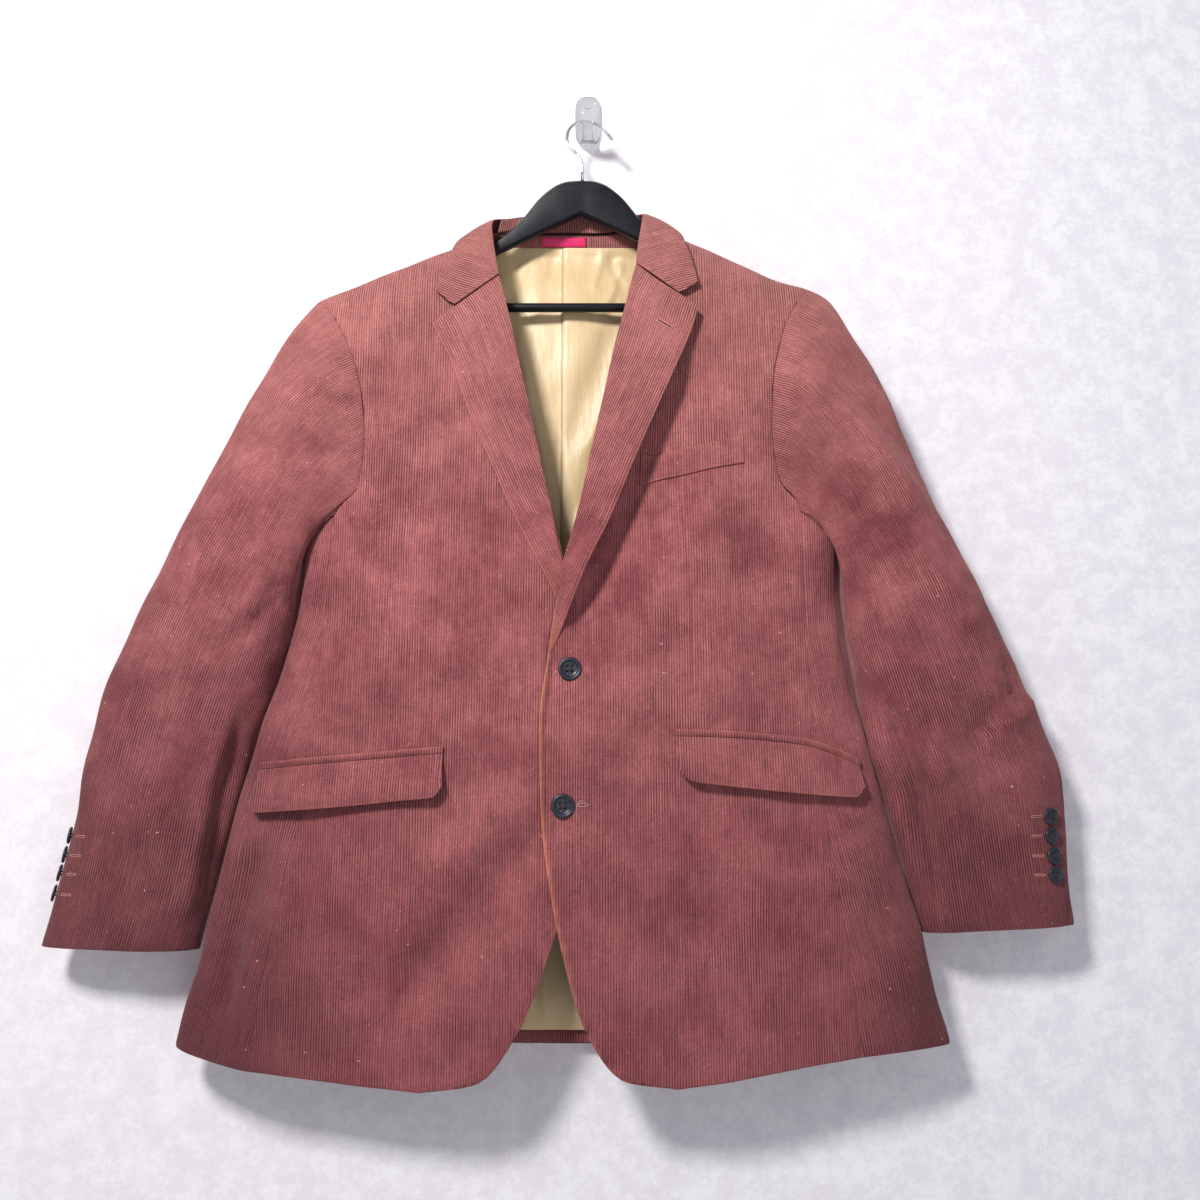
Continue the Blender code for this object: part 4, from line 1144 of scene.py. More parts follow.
def outline(ids):
    """The vertices round a face, in order."""
    last_ones = [row[-1] for row in ids[1:-1]]
    first_ones = [row[0] for row in ids[-2:0:-1]]
    return np.concatenate([ids[0], last_ones, ids[-1][::-1], first_ones]).astype(int)


def roll_rim(plan, base, out, face, under):
    """The rings of the rim, which rolls over from the face to the inside."""
    loop = plan.loop
    edge = face[loop]
    tangent = np.roll(edge, -1, axis=0) - np.roll(edge, 1, axis=0)
    sideways = unit(np.cross(tangent, out[loop]))
    middle, further_in = (row[len(row) // 2] for row in plan.ids[:2])
    if sideways[list(loop).index(middle)] @ (base[further_in] - base[middle]) > 0:
        sideways = -sideways
    depth = np.sum((edge - under[loop]) * out[loop], axis=1)[:, None]
    rings = []
    for angle in np.radians(RIM_TURNS):
        swung = edge + sideways * SEAM / 2 * math.sin(angle)
        rings.append(swung - out[loop] * depth * (1 - math.cos(angle)) / 2)
    return [*rings, under[loop]]


def line_inside(plan, rim, count, every):
    """The inside's rows as (ids, keys, kept), where kept are the face's vertices that it takes over."""
    ids, keys, kept = [], [], []
    for row, places in zip(plan.ids, plan.keys):
        if row[0] in (plan.ids[0][0], plan.ids[-1][0]):
            ids.append([rim[i] for i in row.tolist()])
            keys.append(places)
            continue
        chosen = [i for i in row[1:-1].tolist() if plan.number[i] % every == 0]
        new = range(count + len(kept), count + len(kept) + len(chosen))
        ids.append([rim[row[0]], *new, rim[row[-1]]])
        keys.append(np.array([places[0], *plan.key[chosen], places[-1]]))
        kept += chosen
    return ids, keys, kept


def over_shell(values, plan, inside=1):
    """A shell's values: the face's, then the same ones for the vertices of the rim and of the inside."""
    return np.concatenate([values, *[values[plan.loop]] * plan.rings, values[plan.kept] * inside])


def shell(
    name,
    surface,
    rows,
    grain,
    outward,
    lift,
    wear_and_highlight=(0, 0, 0, 0),
    reach=WEAR_AND_HIGHLIGHT_REACH,
    start=0.0,
    thick=SHELL,
    ribs=True,
    inset=0.0,
    spacing=RIB / len(RIB_SHAPE),
    inside_lines=INSIDE_LINES,
):
    """A closed piece of cloth over surface(u, v) for u from 0 to 1, with its ribs along v.

    start is how far the face lies out from the surface, and thick how thick the cloth is. wear_and_highlight
    is how rubbed its edges are, partly a painted highlight where they catch the light, at u = 0, at u = 1,
    at the first row and at the last row, and reach how far in.
    inside_lines is the number of lines of the face for each line of the inside.
    """
    plan = lay_out(surface, rows, grain, inset, spacing)
    base = surface(plan.u, plan.v)
    out = normals(surface, plan.u, plan.v) * outward
    high = np.array(RIB_SHAPE)[plan.number % len(RIB_SHAPE)] if ribs else 0 * plan.key
    dip = EDGE_DIP * np.exp(-((plan.to_edges.min(0) / EDGE_REACH) ** 2))
    lifted = start + lift(base)
    face = base + out * (lifted - dip + RIB_DEPTH * high)[:, None]
    under = base + out * (lifted - thick)[:, None]

    plan.loop = outline(plan.ids)
    rings = roll_rim(plan, base, out, face, under)
    plan.rings = len(rings)
    size = len(plan.loop)
    numbered = len(face) + np.arange(size * plan.rings).reshape(plan.rings, size)
    ring_ids = [plan.loop.tolist(), *numbered.tolist()]
    rim = dict(zip(ring_ids[0], ring_ids[-1]))
    inside_ids, inside_keys, plan.kept = line_inside(plan, rim, len(face) + numbered.size, inside_lines)

    outer_faces = strips(plan.ids, plan.keys)
    for one, two in zip(ring_ids, ring_ids[1:]):
        outer_faces += [(one[i - 1], two[i - 1], two[i], one[i]) for i in range(size)]
    faces = outer_faces + [corners[::-1] for corners in strips(inside_ids, inside_keys)]
    points = np.concatenate([face, *rings, under[plan.kept]]) * MM
    mesh = bpy.data.meshes.new(name)
    mesh.from_pydata(points.astype(np.float32), [], faces)
    if volume_of(points, faces) < 0:
        mesh.flip_normals()
    mesh.polygons.foreach_set("use_smooth", np.ones(len(faces), bool))
    materials = np.zeros(len(faces), np.int32)
    materials[len(outer_faces) :] = 1
    mesh.polygons.foreach_set("material_index", materials)

    edge_wear_and_highlight = (np.array(wear_and_highlight)[:, None] * np.exp(-plan.to_edges / np.resize(reach, (4, 1)))).max(0)
    add_values(mesh, "rib", over_shell(1 + high, plan, inside=0))
    add_values(mesh, "edge_wear_and_highlight", over_shell(edge_wear_and_highlight, plan, inside=0))
    add_cloth_map(mesh, plan)
    add_bake_map(mesh, plan, len(outer_faces))
    return mesh


def add_object(name, data):
    obj = bpy.data.objects.new(name, data)
    bpy.context.scene.collection.objects.link(obj)
    return obj


def volume_of(points, faces):
    """The volume that the faces close in, below 0 if they face inwards."""
    halves = [(face[0], face[2], face[3]) for face in faces if len(face) == 4]
    corners = points[np.array([face[:3] for face in faces] + halves)]
    return np.einsum("ij,ij->i", corners[:, 0], np.cross(corners[:, 1], corners[:, 2])).sum() / 6


def add_values(mesh, name, values):
    mesh.attributes.new(name, "FLOAT", "POINT").data.foreach_set("value", values.astype(np.float32))


def corner_vertices(mesh):
    corners = np.empty(len(mesh.loops), np.int32)
    mesh.loops.foreach_get("vertex_index", corners)
    return corners


def add_map(mesh, name, places):
    """A UV map from the place of every corner."""
    mesh.uv_layers.new(name=name).data.foreach_set("uv", places.astype(np.float32).ravel())


def add_cloth_map(mesh, plan):
    """A map in metres across and down the cloth, for what is woven into it."""
    places = over_shell(np.stack([plan.key, plan.down], -1) * MM, plan)
    add_map(mesh, "cloth", places[corner_vertices(mesh)])


def add_bake_map(mesh, plan, outer_faces):
    """A map with no overlaps: the face and its rim in its lower part, and the inside above them."""
    flat = np.stack([(plan.key - plan.key.min()) / np.ptp(plan.key), plan.down / np.ptp(plan.down)], -1)
    rim = np.sign(flat[plan.loop] - 0.5) * (np.abs(flat[plan.loop] - 0.5) > MAP_RIM)
    steps = [rim * RIM_STEP * (ring + 1) for ring in range(plan.rings)]
    steps = np.concatenate([0 * flat, *steps, 0 * flat[plan.kept]])
    face_map = (over_shell(flat * MAP_SHARE + MAP_EDGE, plan) + steps) * (1, FACE_PART)
    inside_map = over_shell(flat, plan) * (MAP_SHARE, INSIDE_PART) + (MAP_EDGE, INSIDE_START)
    corners = corner_vertices(mesh)
    split = mesh.polygons[outer_faces].loop_start
    add_map(mesh, "OFBake", np.concatenate([face_map[corners[:split]], inside_map[corners[split:]]]))


# --- Cloth pieces -----------------------------------------------------------------------------

INWARDS = {"right": 1, "left": -1}  # along X, from each side to the middle
SLEEVE_HALVES = {  # the points of the armhole's ring where each half starts and ends
    "top": (BACK_SEAM - RING_POINTS, FRONT_SEAM),
    "under": (FRONT_SEAM, BACK_SEAM),
}
FRONT_LINES = 4  # lines of a front's outer face for each line of its inner one
SHEETS = {}


def cloth(name, *surface, material="corduroy", reverse="corduroy_reverse", **sizes):
    """A shell that stands for the node of its name."""
    mesh = shell(name, *surface, **sizes)
    mesh.materials.append(MATERIALS[material])
    mesh.materials.append(MATERIALS[reverse])
    obj = add_object(name + "_cloth", mesh)
    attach(obj, "root")
    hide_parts(name)
    SHEETS[name] = obj


def make_body():
    hem = {"wear_and_highlight": (0, 0, HEM_WEAR_AND_HIGHLIGHT, 0)}
    for side, inwards in INWARDS.items():
        edge = {"wear_and_highlight": (0, FRONT_WEAR_AND_HIGHLIGHT[side], HEM_WEAR_AND_HIGHLIGHT, 0), "reach": FRONT_REACH, "inside_lines": FRONT_LINES}
        rows = close_rows("front", TOP_ROW)
        cloth(side + "_front", front_surface(side), rows, from_front, inwards, body_lift, **edge)
        rows = close_rows("back", TOP_ROW)
        cloth(side + "_back", back_surface(side), rows, from_front, -inwards, body_lift, **hem)
        rows = close_rows("side_panel", ARM_ROW)
        panel_sizes = {"inset": SEAM / 2, **hem}
        cloth(side + "_side_panel", side_surface(side), rows, from_middle, -inwards, body_lift, **panel_sizes)


def make_sleeves():
    rows = close_rows("sleeve", SECTIONS)
    cuff = {"wear_and_highlight": (0, 0, 0, HEM_WEAR_AND_HIGHLIGHT), "inset": SEAM / 2}
    for side, inwards in INWARDS.items():
        for half, (first, last) in SLEEVE_HALVES.items():
            surface = sleeve_surface(side, first, last)
            cloth(f"{side}_{half}_sleeve", surface, rows, from_middle, -inwards, sleeve_lift(side), **cuff)


def make_collar():
    lapel = {"start": LAID + CLOTH, "thick": COLLAR_CLOTH, "wear_and_highlight": LAPEL_WEAR_AND_HIGHLIGHT, "reach": LAPEL_REACH}
    for side, inwards in INWARDS.items():
        rows = close_rows("lapel", last_row(LAPELS[side]))
        cloth(side + "_lapel", lapel_surface(side), rows, from_edge, inwards, lapel_lift, **lapel)
    fall = {"thick": COLLAR_CLOTH, "wear_and_highlight": COLLAR_WEAR_AND_HIGHLIGHT}
    cloth("collar", collar_surface, close_rows("collar"), from_middle, 1, lapel_lift, **fall)
    stand = {"start": CLOTH, "thick": CLOTH}
    cloth("collar_stand", stand_surface, close_rows("stand"), from_middle, 1, inside_lift, **stand)


def make_inside():
    inside = {"start": CLOTH + LINING_GAP + THIN, "thick": THIN}
    cloth("neck_facing", facing_surface, close_rows("neck_facing"), from_middle, 1, inside_lift, **inside)
    cloth("hem_facing", hem_surface, close_rows("hem_facing"), from_middle, -1, inside_lift, **inside)
    rows = close_rows("lining", last_row(LINING))
    plain = {"ribs": False, "spacing": SATIN_LINES, "inside_lines": 1}
    satin = {"material": "lining_satin", "reverse": "lining_satin"}
    cloth("back_lining", lining_surface, rows, from_middle, -1, satin_lift, **inside, **plain, **satin)
    bare = {"material": "label_cloth", "reverse": "label_cloth", "ribs": False, "spacing": LABEL_LINES}
    label = {"start": inside["start"] + LABEL_RISE, "thick": LABEL_CLOTH, "wear_and_highlight": (1, 1, 1, 1)}
    cloth("label", label_surface, close_rows("label"), from_middle, 1, inside_lift, **label, **bare)


def make_pockets():
    flap = {"start": POCKET_GAP + POCKET_CLOTH, "thick": POCKET_CLOTH, "wear_and_highlight": FLAP_WEAR_AND_HIGHLIGHT}
    jet = {"start": POCKET_GAP + JET_RISE, "thick": JET_CLOTH, "wear_and_highlight": JET_WEAR_AND_HIGHLIGHT}
    for side, over in (("right", no_lift), ("left", overlap_lift)):
        surface = pocket_surface(FLAPS[side], over)
        cloth(side + "_pocket_flap", surface, close_rows("flap"), from_front, -1, body_lift, **flap)
        surface = pocket_surface(FLAPS[side], over, JET_HEIGHT + SEAM, JET_HEIGHT)
        cloth(side + "_pocket_jet", surface, close_rows("jet"), from_front, -1, body_lift, **jet)
    welt = {"start": LAID + CLOTH, "thick": CLOTH, "wear_and_highlight": FLAP_WEAR_AND_HIGHLIGHT}
    surface = pocket_surface(WELT, overlap_lift, height=WELT_HEIGHT)
    cloth("breast_welt", surface, close_rows("welt"), from_front, -1, body_lift, **welt)


# --- Materials --------------------------------------------------------------------------------

MATERIALS = {}


class Nodes:
    """A material's nodes, which add() makes one by one with their inputs as values or as links."""

    def __init__(self, name):
        self.material = bpy.data.materials.new(name)
        self.material.use_nodes = True
        self.tree = self.material.node_tree
        self.shader = self.tree.nodes["Principled BSDF"]
        MATERIALS[name] = self.material

    def set(self, node, **inputs):
        for name, value in inputs.items():
            socket = node.inputs[int(name[1:]) if name[0] == "_" else name.replace("_", " ")]
            if isinstance(value, bpy.types.NodeSocket):
                self.tree.links.new(value, socket)
            else:
                socket.default_value = value

    def add(self, kind, output=0, settings=(), **inputs):
        node = self.tree.nodes.new("ShaderNode" + kind)
        for name, value in dict(settings).items():
            setattr(node, name, value)
        self.set(node, **inputs)
        return node.outputs[output]

    def finish(self, **inputs):
        self.set(self.shader, **inputs)

    def place(self):
        return self.add("TexCoord", "Object")

    def axis(self, place, letter):
        return self.add("SeparateXYZ", letter, Vector=place)

    def scaled(self, vector, scale, tilt=0.0):
        return self.add("Mapping", 0, Vector=vector, Scale=scale, Rotation=(0, tilt, 0))

    def weave(self, scale):
        """A place on the cloth, scaled across and down it."""
        return self.scaled(self.add("UVMap", 0, {"uv_map": "cloth"}), scale)

    def painted(self, name):
        """The value of this name that a shell's vertices hold."""
        return self.add("Attribute", "Fac", {"attribute_name": name})

    def noise(self, vector, scale, detail=2.0, roughness=0.5):
        return self.add("TexNoise", 0, Vector=vector, Scale=scale, Detail=detail, Roughness=roughness)

    def spread(self, value, low, high, to_low=0.0, to_high=1.0):
        """value from low..high to to_low..to_high, held at both ends."""
        return self.add("MapRange", 0, _0=value, _1=low, _2=high, _3=to_low, _4=to_high)

    def math(self, operation, one, two=0.0):
        return self.add("Math", 0, {"operation": operation}, _0=one, _1=two)

    def mix(self, share, one, two):
        return self.add("Mix", 2, {"data_type": "RGBA"}, _0=share, _6=one, _7=two)

    def shade(self, colour, value):
        return self.add("HueSaturation", 0, Value=value, Color=colour)

    def bump(self, height, strength, distance, **under):
        return self.add("Bump", 0, Height=height, Strength=strength, Distance=distance, **under)


def make_corduroy():
    n = Nodes("corduroy")
    place = n.place()
    height = n.axis(place, "Z")
    brushed = n.spread(n.noise(place, 15, 8, 0.7), 0.38, 0.62)
    matted = n.spread(n.noise(place, 19, 7, 0.72), 0.42, 0.6)
    streaks = n.spread(n.noise(n.weave((430, 26, 1)), 1.0, 4, 0.75), 0.3, 0.7)
    specks = n.spread(n.noise(place, 620, 3, 0.75), 0.3, 0.72)
    lint = n.spread(n.noise(place, 330, 0), 0.865, 0.89, 0.0, 0.5)
    # painted shade: the outer sides, where the sleeves and side panels lie, are painted darker low down
    outer = n.spread(n.math("ABSOLUTE", n.axis(place, "X")), 0.18, 0.29)
    # painted light: the cloth is painted lighter and more orange towards the shoulders, as if lit from above
    painted_top_light = n.spread(height, -0.42, -0.14, 0.0, 0.75)
    # painted shade: darker towards the bottom
    painted_low_shade = n.spread(height, -0.85, -0.42, 1.0, 0.0)
    painted_shade = n.math("MULTIPLY", painted_low_shade, n.spread(outer, 0.0, 1.0, 0.62, 1.0))
    colour = n.mix(brushed, (0.255, 0.067, 0.075, 1), (0.445, 0.146, 0.148, 1))
    # painted light on the upper cloth
    colour = n.mix(painted_top_light, colour, (0.455, 0.178, 0.155, 1))
    # the colour of that painted shade, darker still on the outer sides
    painted_shade_colour = n.mix(outer, (0.262, 0.074, 0.082, 1), (0.140, 0.040, 0.047, 1))
    colour = n.mix(painted_shade, colour, painted_shade_colour)
    # painted shade in the grooves between the ribs and a painted highlight on their crests, over the ribs in
    # the mesh
    groove_shade = n.spread(matted, 0.0, 1.0, 0.04, 0.58)
    crest_highlight = n.spread(streaks, 0.0, 1.0, 0.78, 1.40)
    colour = n.shade(colour, n.spread(n.painted("rib"), 0.0, 0.95, groove_shade, crest_highlight))
    colour = n.shade(colour, n.spread(specks, 0.0, 1.0, 0.72, 1.24))
    colour = n.mix(lint, colour, (0.75, 0.52, 0.48, 1))
    # rubbed edges, lighter and more orange: partly wear and partly a painted highlight where the edges catch
    # the light, with less of it towards the hem
    rubbed_and_lit = n.math("MULTIPLY", n.painted("edge_wear_and_highlight"), n.spread(matted, 0.0, 1.0, 0.55, 1.0))
    rubbed_and_lit = n.math("MULTIPLY", rubbed_and_lit, n.spread(height, -0.83, -0.73, 0.3, 1.0))
    colour = n.mix(n.spread(rubbed_and_lit, 0.1, 0.95, 0.0, 0.88), colour, (0.72, 0.25, 0.15, 1))
    creased = n.bump(n.noise(place, 34, 3, 0.5), 0.55, 0.004)
    pile = n.bump(n.noise(place, 1500, 2, 0.6), 0.35, 0.0004, Normal=creased)
    n.finish(Base_Color=colour, Roughness=0.9, Normal=pile, Specular_IOR_Level=0.15)
    n.finish(Sheen_Weight=0.3, Sheen_Roughness=0.5, Sheen_Tint=(1.0, 0.66, 0.64, 1))


def make_reverse():
    n = Nodes("corduroy_reverse")
    weave = n.noise(n.place(), 900, 2)
    colour = n.mix(weave, (0.10, 0.035, 0.036, 1), (0.15, 0.05, 0.05, 1))
    n.finish(Base_Color=colour, Roughness=0.9, Normal=n.bump(weave, 0.3, 0.0003))


def make_satin():
    n = Nodes("lining_satin")
    place = n.place()
    threads = n.noise(n.weave((3200, 160, 1)), 1.0, 1)
    cloudy = n.spread(n.noise(place, 14, 3, 0.6), 0.3, 0.7)
    colour = n.mix(cloudy, (0.66, 0.47, 0.235, 1), (0.80, 0.60, 0.34, 1))
    colour = n.mix(n.spread(threads, 0.2, 0.8, 0.0, 0.25), colour, (0.86, 0.70, 0.44, 1))
    # a painted shade line along the pleat's fold, fading out towards the hem
    from_pleat = n.math("ABSOLUTE", n.math("SUBTRACT", n.axis(place, "X"), PLEAT["x"] * MM))
    pleat_shade = n.spread(n.axis(place, "Z"), -0.74, -0.6, 1.0, 0.6)
    colour = n.shade(colour, n.spread(from_pleat, 0.0003, 0.0012, pleat_shade, 1.0))
    creased = n.bump(n.noise(n.scaled(place, (46, 46, 13), 0.25), 1.0, 3, 0.55), 0.36, 0.006)
    n.finish(Base_Color=colour, Roughness=n.spread(threads, 0.2, 0.8, 0.36, 0.48), Anisotropic=0.5)
    n.finish(Normal=n.bump(threads, 0.08, 0.0002, Normal=creased))
    n.finish(Sheen_Weight=0.25, Sheen_Roughness=0.35, Sheen_Tint=(1.0, 0.88, 0.62, 1))


def make_label():
    n = Nodes("label_cloth")
    threads = n.noise(n.weave((700, 2600, 1)), 1.0, 1)
    colour = n.mix(threads, (0.74, 0.010, 0.120, 1), (0.88, 0.030, 0.20, 1))
    colour = n.mix(n.spread(n.painted("edge_wear_and_highlight"), 0.55, 0.75), colour, (0.55, 0.006, 0.08, 1))
    n.finish(Base_Color=colour, Roughness=0.5, Normal=n.bump(threads, 0.2, 0.0002))


def make_dark_plastic():
    n = Nodes("button_dark")
    place = n.place()
    swirl = n.noise(place, 260, 3, 0.6)
    colour = n.mix(n.spread(swirl, 0.35, 0.7), (0.012, 0.012, 0.021, 1), (0.030, 0.030, 0.050, 1))
    n.finish(Base_Color=colour, Roughness=n.spread(swirl, 0.3, 0.7, 0.28, 0.42))
    n.finish(Normal=n.bump(n.noise(place, 900, 2), 0.04, 0.0002))


def make_thread(name, dark, pale, roughness):
    n = Nodes(name)
    twist = n.noise(n.place(), 3000, 1)
    n.finish(Base_Color=n.mix(twist, dark, pale), Roughness=roughness, Normal=n.bump(twist, 0.3, 0.0002))


def make_lacquer():
    n = Nodes("hanger_black")
    place = n.place()
    grain = n.noise(n.scaled(place, (30, 500, 420)), 1.0, 4, 0.6)
    dust = n.spread(n.noise(place, 60, 5, 0.7), 0.5, 0.75, 0.0, 0.3)
    colour = n.mix(grain, (0.004, 0.004, 0.007, 1), (0.009, 0.009, 0.014, 1))
    colour = n.mix(dust, colour, (0.026, 0.026, 0.036, 1))
    n.finish(Base_Color=colour, Roughness=n.spread(grain, 0.2, 0.8, 0.3, 0.42))
    n.finish(Normal=n.bump(grain, 0.12, 0.0003), Specular_IOR_Level=0.26)


def make_chrome():
    n = Nodes("chrome")
    smudges = n.noise(n.place(), 240, 3)
    colour = n.mix(smudges, (0.82, 0.82, 0.85, 1), (0.92, 0.92, 0.94, 1))
    n.finish(Base_Color=colour, Roughness=n.spread(smudges, 0.3, 0.7, 0.08, 0.2), Metallic=1.0)


def make_clear_plastic():
    n = Nodes("clear_plastic")
    smears = n.noise(n.place(), 90, 3)
    colour = n.mix(smears, (0.93, 0.95, 0.96, 1), (0.98, 0.98, 0.98, 1))
    n.finish(Base_Color=colour, Roughness=n.spread(smears, 0.35, 0.7, 0.03, 0.09))
    n.finish(Transmission_Weight=0.92, IOR=1.46)


def make_plaster():
    """The wall's material, which is clear from behind."""
    n = Nodes("plaster")
    place = n.place()
    patches = n.spread(n.noise(place, 34, 15, 0.86), 0.46, 0.55)
    flecks = n.spread(n.noise(place, 170, 12, 0.85), 0.56, 0.66, 0.0, 0.5)
    # painted shade: the wall is painted pale and pink on the left and greyer and bluer towards the right
    sideways = n.spread(n.axis(place, "X"), -0.7, 0.9)
    colour = n.mix(sideways, (0.86, 0.80, 0.84, 1), (0.80, 0.785, 0.85, 1))
    colour = n.mix(patches, colour, (0.92, 0.90, 0.93, 1))
    colour = n.mix(flecks, colour, (0.66, 0.63, 0.68, 1))
    n.finish(Base_Color=colour, Roughness=0.85, Normal=n.bump(n.noise(place, 110, 9, 0.75), 0.35, 0.002))
    behind = n.add("NewGeometry", "Backfacing")
    seen = n.add("MixShader", 0, _0=behind, _1=n.shader.outputs[0], _2=n.add("BsdfTransparent"))
    n.set(n.tree.nodes["Material Output"], Surface=seen)


def make_materials():
    make_corduroy()
    make_reverse()
    make_satin()
    make_label()
    make_dark_plastic()
    make_thread("thread", (0.030, 0.022, 0.022, 1), (0.075, 0.045, 0.042, 1), 0.7)
    make_thread("pale_thread", (0.48, 0.18, 0.15, 1), (0.64, 0.30, 0.24, 1), 0.75)
    make_thread("lint_thread", (0.58, 0.36, 0.33, 1), (0.78, 0.60, 0.55, 1), 0.8)
    make_lacquer()
    make_chrome()
    make_clear_plastic()
    make_plaster()


# --- Buttons, hanger and hook -----------------------------------------------------------------

BUTTON_PROFILE = (  # radius and height, as shares of the radius, from the dished top to the back
    (0, 0.13),
    (0.3, 0.13),
    (0.52, 0.135),
    (0.62, 0.16),
    (0.7, 0.235),
    (0.77, 0.285),
    (0.86, 0.3),
    (0.94, 0.275),
    (0.985, 0.22),
    (1.0, 0.15),
    (0.985, 0.08),
    (0.93, 0.02),
    (0.85, 0.0),
    (0.4, 0.0),
    (0, 0.0),
)
BUTTON_SIDES = 64
HOLE_AT = 0.2  # of the radius from the middle, along both directions
HOLE_SIZE = 0.095
HOLE_SIDES = 16
THREAD_CROSS = {  # as shares of the button's radius, but for the number of points
    "apart": 0.035,  # each thread of a pair from their middle
    "width": 0.09,
    "height": 0.13,
    "arch": 0.06,
    "over": 0.02,  # how much higher the second pair crosses
    "end": -0.1,
    "points": 9,
}
CUFF_PLACES = {"right": [], "left": []}

# Lines of (x, height) points on the cloth
LAPEL_BUTTONHOLE = ((65.0, -234.4), (76.4, -242.6))
EDGE_KNOT = (((-27.0, -555.4), (-25.6, -555.0)),)
LOOSE_ENDS = (
    ((-7.4, -668.0), (-4.0, -666.2), (1.0, -667.0)),
    ((-7.6, -669.0), (-2.0, -669.6), (3.4, -667.6)),
    ((-7.4, -667.4), (-4.8, -664.4), (-1.6, -664.8)),
)
CUFF_STITCH = {"from_button": 10.0, "length": 8.5}
STITCH_LIFT = 0.3
BEFORE_ALL = -0.5  # metres, in front of the jacket
ASKEW = (0.31, 0.23, 0.92)  # a direction that no thread runs along
BEVEL_ANGLE = 32  # degrees, above which an edge is rounded


def collect(name, mesh, material):
    """An object from a bmesh, smooth all over."""
    data = bpy.data.meshes.new(name)
    mesh.to_mesh(data)
    mesh.free()
    data.polygons.foreach_set("use_smooth", np.ones(len(data.polygons), bool))
    data.materials.append(MATERIALS[material])
    return add_object(name, data)


def turned(profile, sides):
    """A closed solid turned round Z from (radius, height) points that begin and end on the axis."""
    mesh = bmesh.new()
    ends = [mesh.verts.new((0, 0, profile[i][1])) for i in (0, -1)]
    rings = []
    for radius, height in profile[1:-1]:
        turns = [2 * math.pi * i / sides for i in range(sides)]
        rings.append([mesh.verts.new((radius * math.cos(t), radius * math.sin(t), height)) for t in turns])
    for i in range(sides):
        j = (i + 1) % sides
        mesh.faces.new((ends[0], rings[0][i], rings[0][j]))
        mesh.faces.new((ends[1], rings[-1][j], rings[-1][i]))
        for one, two in zip(rings, rings[1:]):
            mesh.faces.new((one[i], two[i], two[j], one[j]))
    bmesh.ops.recalc_face_normals(mesh, faces=mesh.faces)
    return mesh


def button_mesh():
    """A four-hole button of radius 1."""
    button = collect("button_blank", turned(BUTTON_PROFILE, BUTTON_SIDES), "button_dark")
    cutter = bmesh.new()
    for x in (-HOLE_AT, HOLE_AT):
        for y in (-HOLE_AT, HOLE_AT):
            hole = {"segments": HOLE_SIDES, "radius1": HOLE_SIZE, "radius2": HOLE_SIZE, "depth": 1}
            made = bmesh.ops.create_cone(cutter, cap_ends=True, **hole)
            bmesh.ops.translate(cutter, verts=made["verts"], vec=(x, y, 0))
    holes = collect("button_holes", cutter, "button_dark")
    cut = button.modifiers.new("holes", "BOOLEAN")
    cut.operation = "DIFFERENCE"
    cut.object = holes
    cut.solver = "EXACT"
    graph = bpy.context.evaluated_depsgraph_get()
    data = bpy.data.meshes.new_from_object(button.evaluated_get(graph))
    for helper in (button, holes):
        bpy.data.objects.remove(helper)
    return data


def tube(name, lines, diameter, material, sides=6):
    """Round threads along lines of points, as one mesh. Lines are in metres."""
    mesh = bmesh.new()
    for line in lines:
        line = np.array(line, float)
        along = unit(np.gradient(line, axis=0))
        side = unit(np.cross(along, ASKEW))
        up = np.cross(along, side)
        rings = []
        for point, s, t in zip(line, side, up):
            turns = [2 * math.pi * i / sides for i in range(sides)]
            offsets = [(s * math.cos(a) + t * math.sin(a)) * diameter / 2 for a in turns]
            rings.append([mesh.verts.new(point + offset) for offset in offsets])
        for one, two in zip(rings, rings[1:]):
            for i in range(sides):
                mesh.faces.new((one[i], one[(i + 1) % sides], two[(i + 1) % sides], two[i]))
        mesh.faces.new(rings[0])
        mesh.faces.new(rings[-1])
    bmesh.ops.recalc_face_normals(mesh, faces=mesh.faces)
    return collect(name, mesh, material)


def thread_cross():
    """Two pairs of threads between opposite holes of a button of radius 1."""
    lines = []
    for second, x in enumerate((-HOLE_AT, HOLE_AT)):
        start, end = np.array((x, -HOLE_AT)), np.array((-x, HOLE_AT))
        for shift in (-THREAD_CROSS["apart"], THREAD_CROSS["apart"]):
            line = []
            for share in np.linspace(0, 1, THREAD_CROSS["points"]):
                flat = start * (1 - share) + end * share + (shift, shift if second else -shift)
                arch = THREAD_CROSS["height"] + THREAD_CROSS["arch"] * math.sin(math.pi * share)
                height = THREAD_CROSS["end"] if share in (0.0, 1.0) else arch + THREAD_CROSS["over"] * second
                line.append((*flat, height))
            lines.append(line)
    return lines


def make_button(name, node, data, radius, place, normal):
    """The button at place, upright, with a cross of thread through its holes."""
    z = Vector(normal).normalized()
    x = Vector((0, 0, 1)).cross(z).normalized()
    turn = np.array([x, z.cross(x), z]).T
    origin = np.array(Vector(place) * MM + z * BUTTON_SHANK * MM)
    obj = add_object(name, data.copy())
    points = np.empty(len(data.vertices) * 3)
    data.vertices.foreach_get("co", points)
    points = points.reshape(-1, 3) * radius * MM @ turn.T + origin
    obj.data.vertices.foreach_set("co", points.astype(np.float32).ravel())
    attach(obj, "root")
    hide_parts(node)
    lines = [[np.array(point) * radius * MM @ turn.T + origin for point in line] for line in thread_cross()]
    cross = tube(name + "_thread", lines, THREAD_CROSS["width"] * radius * MM, "thread")
    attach(cross, "root")


